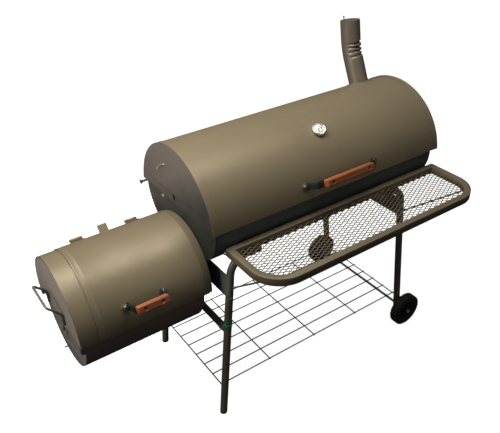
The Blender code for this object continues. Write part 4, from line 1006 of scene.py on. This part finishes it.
def make_tape(low, high):
    """Printed band round the straight part of the front left leg, with plain marks for its print."""
    way = (high - low).normalized()
    at = low + (high - low) * ((BAND_Z - low.z) / (high.z - low.z))
    line = [at + off * way for off in (-0.011, -0.004, 0.004, 0.011)]
    band = coloured(tube(line, TUBE_R + 0.0011, 28, 0.0008), TAPE)
    marks = []
    for i, turn in enumerate((-75, -48, -20, 8, 36, 70)):
        t = math.radians(turn)
        out = Vector((math.sin(t), -math.cos(t), 0))
        spot = at + way * (0.0022 * (-1) ** i) + out * (TUBE_R + 0.0008)
        mark = block((-0.0022, -0.0005, -0.0030 + 0.0008 * (i % 3)), (0.0018, 0.0005, 0.0034), 0.0002, 1)
        mark.data.transform(Matrix.Translation(spot) @ Matrix.Rotation(t, 4, "Z"))
        marks.append(coloured(mark, LABEL))
    show("leg_tape", [band] + marks, "frame", "green_tape", "leg_band")


def make_wheels():
    for side, sign in (("front", -1), ("rear", 1)):
        at = out_of(Vector((AXLE_X, sign * WHEEL_Y, WHEEL_R)), (0, sign, 0))
        h, r = WHEEL_HALF, WHEEL_R - 0.0016
        band = [(0.0418, h - 0.0030), (0.0440, h - 0.0010), (0.0475, h - 0.0004), (0.0500, h - 0.0016),
                (0.0540, h - 0.0018), (0.0590, h - 0.0010), (0.0625, h - 0.0020), (r - 0.0012, h - 0.0048),
                (r, h - 0.0085), (r + 0.0002, 0.0)]
        band += [(a, -b) for a, b in band[-2::-1]]
        obs = [coloured(lathe(band + [band[0]], at, 72), RUBBER)]
        count, lug_half = 30, 0.0042
        for row in (-1, 0, 1):
            mid = row * 0.0108
            for i in range(count):
                turn = Matrix.Rotation(2 * math.pi * (i + 0.5 * (row == 0)) / count, 4, "Z")
                low = (r - 0.0020, -lug_half, mid - lug_half)
                high = (WHEEL_R - 0.0001, lug_half, mid + lug_half)
                lug = block(low, high, 0.0006, 1)
                skew = Matrix.Rotation(math.radians(18 * row), 4, "X")
                lug.data.transform(at @ turn @ skew)
                obs.append(coloured(lug, RUBBER))
        show("wheel_tyre_" + side, obs, "wheel_" + side, "tyre_rubber", "tyre_" + side)
        bore = 0.0051
        core = [(bore, h), (0.0120, h), (0.0130, h - 0.0010), (0.0134, 0.0050), (0.0160, 0.0020),
                (0.0340, 0.0012), (0.0375, 0.0040), (0.0392, h - 0.0060), (0.0417, h - 0.0045),
                (0.0417, -h + 0.0045), (0.0385, -h + 0.0045), (0.0350, -0.0035), (0.0130, -0.0035),
                (0.0130, -h), (bore, -h)]
        obs = [coloured(lathe(core + [core[0]], at, 48), PLASTIC)]
        for i in range(6):
            rib = block((0.0128, -0.0016, -0.0010), (0.0380, 0.0016, 0.0085), 0.0006, 1)
            rib.data.transform(at @ Matrix.Rotation(math.radians(60 * i + 15), 4, "Z"))
            obs.append(coloured(rib, PLASTIC))
        show("wheel_hub_" + side, obs, "wheel_" + side, "black_plastic", "hub_" + side)


# Shelf and rack.

def rim_loop(inset, steps=24):
    """Outline of the shelf, moved in by inset, with its two front corners round."""
    x0, x1 = SHELF_X0 + inset, SHELF_X1 - inset
    back, front = SHELF_BACK - inset, SHELF_FRONT + inset
    r = SHELF_CORNER - inset
    small = max(0.0015, 0.0060 - inset)
    loop = arc(r, 180, 270, steps, (x0 + r, front + r)) + arc(r, 270, 360, steps, (x1 - r, front + r))
    loop += arc(small, 0, 90, 4, (x1 - small, back - small))
    return loop + arc(small, 90, 180, 4, (x0 + small, back - small))


def inside_span(y, inset):
    """Left and right ends of the shelf's inside at that y."""
    r = SHELF_CORNER - inset
    off = max(SHELF_FRONT + inset + r - y, 0.0)
    cut_back = r - math.sqrt(max(0.0, r * r - off * off))
    return SHELF_X0 + inset + cut_back, SHELF_X1 - inset - cut_back


def make_mesh():
    """Expanded metal: zigzag strands along X, joined to the next one where they meet."""
    pitch, row, strand, thick, bond = 0.0280, 0.00680, 0.0018, 0.0018, 0.0030
    inset = RIM_W - 0.0010
    mesh_z = SHELF_Z - 0.0105
    back, front = SHELF_BACK - inset, SHELF_FRONT + inset
    swing = row / 2 - strand * 0.35
    points, faces = [], []
    for k in range(int((back - front) / row)):
        y_mid = back - row * (k + 0.5)
        left, right = inside_span(y_mid, inset)
        flip = 1 if k % 2 else -1
        line = [Vector((left, y_mid, mesh_z))]
        first = int((left - SHELF_X0) / (pitch / 2))
        for i in range(first, first + int((right - left) / (pitch / 2)) + 2):
            x = SHELF_X0 + i * pitch / 2
            push = flip * (1 if i % 2 else -1)
            for part in (-1, 1):
                if left < x + part * bond / 2 < right:
                    line.append(Vector((x + part * bond / 2, y_mid + push * swing, mesh_z + part * 0.0005)))
        line.append(Vector((right, y_mid, mesh_z)))
        base = len(points)
        for i, p in enumerate(line):
            a, b = line[max(0, i - 1)], line[min(len(line) - 1, i + 1)]
            side = Vector((a.y - b.y, b.x - a.x, 0)).normalized() * strand / 2
            for s, z in ((1, thick / 2), (-1, thick / 2), (-1, -thick / 2), (1, -thick / 2)):
                points.append(p + side * s + Vector((0, 0, z)))
        for i in range(len(line) - 1):
            for j in range(4):
                a, b = base + 4 * i + j, base + 4 * i + (j + 1) % 4
                faces.append((a, b, b + 4, a + 4))
        faces.append((base, base + 1, base + 2, base + 3))
        last = base + 4 * (len(line) - 1)
        faces.append((last + 3, last + 2, last + 1, last))
    mesh = bpy.data.meshes.new("strands")
    mesh.from_pydata(points, [], faces)
    ob = baked(add("strands", mesh), 30.0)
    show("shelf_panel", coloured(ob, BRONZE), "frame", "olive_paint", "shelf_mesh")


def make_shelf():
    outer, inner = rim_loop(0.0), rim_loop(RIM_W)
    top = plate([outer, inner], RIM_H, Matrix.Translation((0, 0, SHELF_Z - RIM_H / 2)), 0.0011)
    obs = [coloured(top, BRONZE)]
    for x in (SHELF_X0 + 0.040, SHELF_X1 - 0.040):
        low, high = (x - 0.015, SHELF_BACK - 0.010, AXIS_Z - 0.0520), (x + 0.015, -0.2092, AXIS_Z - 0.0390)
        tab = block(low, high, 0.0010)
        obs.append(coloured(tab, BLACK))
    y, z = SHELF_BACK - 0.0085, AXIS_Z - 0.0450
    obs.append(coloured(rod((SHELF_X0 - 0.0105, y, z), (SHELF_X0 + 0.004, y, z), 0.0036, 20), ZINC))
    obs.append(hexed((SHELF_X0 - 0.0070, y, z), (1, 0, 0), 0.0060, 0.0050, TAN))
    show("shelf_frame", obs, "frame", "olive_paint", "shelf_rim")
    make_mesh()


def make_rack():
    z, x0, x1, half, wire = 0.1172, 0.0066, 0.8459, 0.2034, 0.0022
    obs = []
    for i in range(5):
        x = x0 + (x1 - x0) * i / 4
        obs.append(rod((x, -half - 0.0025, z), (x, half + 0.0025, z), wire, 12))
    for i in range(8):
        y = -half + 2 * half * i / 7
        obs.append(rod((x0 - 0.003, y, z + wire * 1.4), (x1 + 0.003, y, z + wire * 1.4), wire, 12))
    show("rack_wires", [coloured(ob, WIRE) for ob in obs], "frame", "black_paint", "bottom_rack")


# Camera, floor and light.

def make_floor():
    """White floor whose edges turn up far away, so that it fills the view from any side."""
    bpy.ops.mesh.primitive_plane_add(size=60.0, location=(0, 0, -0.0005))
    floor = bpy.context.object
    floor.name = "studio_floor"
    g = Graph("floor_white")
    g.shader.inputs["Roughness"].default_value = 0.9
    g.shader.inputs["Specular IOR Level"].default_value = 0.0
    pale = g.ramp(g.noise(0.8), (0.3, (0.90, 0.90, 0.90)), (0.7, (0.93, 0.93, 0.93)))
    g.link(pale, g.shader.inputs["Base Color"])
    g.shader.inputs["Emission Color"].default_value = (1.0, 1.0, 1.0, 1.0)
    g.shader.inputs["Emission Strength"].default_value = 0.92
    floor.data.materials.append(g.material)
    bm = bmesh.new()
    bm.from_mesh(floor.data)
    walls = bmesh.ops.extrude_edge_only(bm, edges=bm.edges[:])["geom"]
    bmesh.ops.translate(bm, verts=[v for v in walls if isinstance(v, bmesh.types.BMVert)], vec=(0, 0, 50.0))
    bm.to_mesh(floor.data)
    bm.free()
    floor.visible_diffuse = False
    floor.visible_glossy = False
    floor.visible_shadow = False


def make_world():
    """Dark below and pale above, so that upright paint stays dark and the tops catch light."""
    world = bpy.data.worlds.new("studio")
    bpy.context.scene.world = world
    world.use_nodes = True
    tree = world.node_tree
    back = tree.nodes["Background"]
    coords = tree.nodes.new("ShaderNodeTexCoord")
    split = tree.nodes.new("ShaderNodeSeparateXYZ")
    shade = tree.nodes.new("ShaderNodeValToRGB")
    shade.color_ramp.elements[0].position = 0.45
    shade.color_ramp.elements[0].color = (0.014, 0.0155, 0.017, 1.0)
    shade.color_ramp.elements[1].position = 0.95
    shade.color_ramp.elements[1].color = (0.15, 0.15, 0.15, 1.0)
    lift = tree.nodes.new("ShaderNodeMapRange")
    lift.inputs["From Min"].default_value = -1.0
    tree.links.new(coords.outputs["Generated"], split.inputs["Vector"])
    tree.links.new(split.outputs["Z"], lift.inputs["Value"])
    tree.links.new(lift.outputs["Result"], shade.inputs["Fac"])
    tree.links.new(shade.outputs["Color"], back.inputs["Color"])
    back.inputs["Strength"].default_value = 1.0


def make_lights():
    for name, place, aim, size, power, tint in (
        ("gloss", (0.24, -0.24, 2.9), (0.0, 0.0, 0.8), 1.0, 16.5, (1.0, 0.97, 0.90)),
        ("key", (-0.64, 0.36, 2.4), (-0.3, 0.0, 0.8), 0.9, 19.5, (1.0, 0.97, 0.90)),
        ("end", (-2.4, 0.1, 2.0), (-0.4, 0.0, 0.7), 0.9, 24.0, (1.0, 0.97, 0.95)),
        ("front", (0.2, -3.2, 1.4), (0.0, 0.0, 0.4), 1.6, 0.9, (0.92, 0.96, 1.0)),
    ):
        data = bpy.data.lights.new(name, "AREA")
        data.shape = "DISK"
        data.size = size
        data.energy = power
        data.color = tint
        lamp = add(name, data)
        lamp.location = place
        lamp.rotation_euler = (Vector(aim) - Vector(place)).to_track_quat("-Z", "Y").to_euler()


def make_camera():
    data = bpy.data.cameras.new("view")
    data.lens = CAMERA_LENS
    data.sensor_width = 36.0
    camera = add("view", data)
    turn = Matrix.Rotation(math.radians(-CAMERA_HEADING), 4, "Z")
    turn @= Matrix.Rotation(math.radians(90 - CAMERA_DOWN), 4, "X")
    turn @= Matrix.Rotation(math.radians(CAMERA_ROLL), 4, "Z")
    camera.matrix_world = Matrix.Translation(CAMERA_AT) @ turn
    bpy.context.scene.camera = camera
    bpy.context.scene.view_settings.view_transform = "Standard"


make_lid()
make_handle("lid_handle", "chamber_lid", deg=71.5, axis_z=AXIS_Z, radius=LID_R - 0.0010,
            hole0=0.4179, hole1=0.5709, foot=0.0709, rise0=0.0600, rise1=0.0450, face=0.0590, plain=True)
make_handle("firebox_handle", "firebox_lid", deg=68.5, axis_z=FB_Z, radius=FB_LID_R,
            hole0=-0.2437, hole1=-0.1892, foot=0.0345, rise0=0.0245, rise1=0.0245, face=0.0790, plain=False)
make_dial()
make_flue()
make_chamber()
make_firebox()
make_stand()
make_wheels()
make_shelf()
make_rack()
make_floor()
make_world()
make_lights()
make_camera()
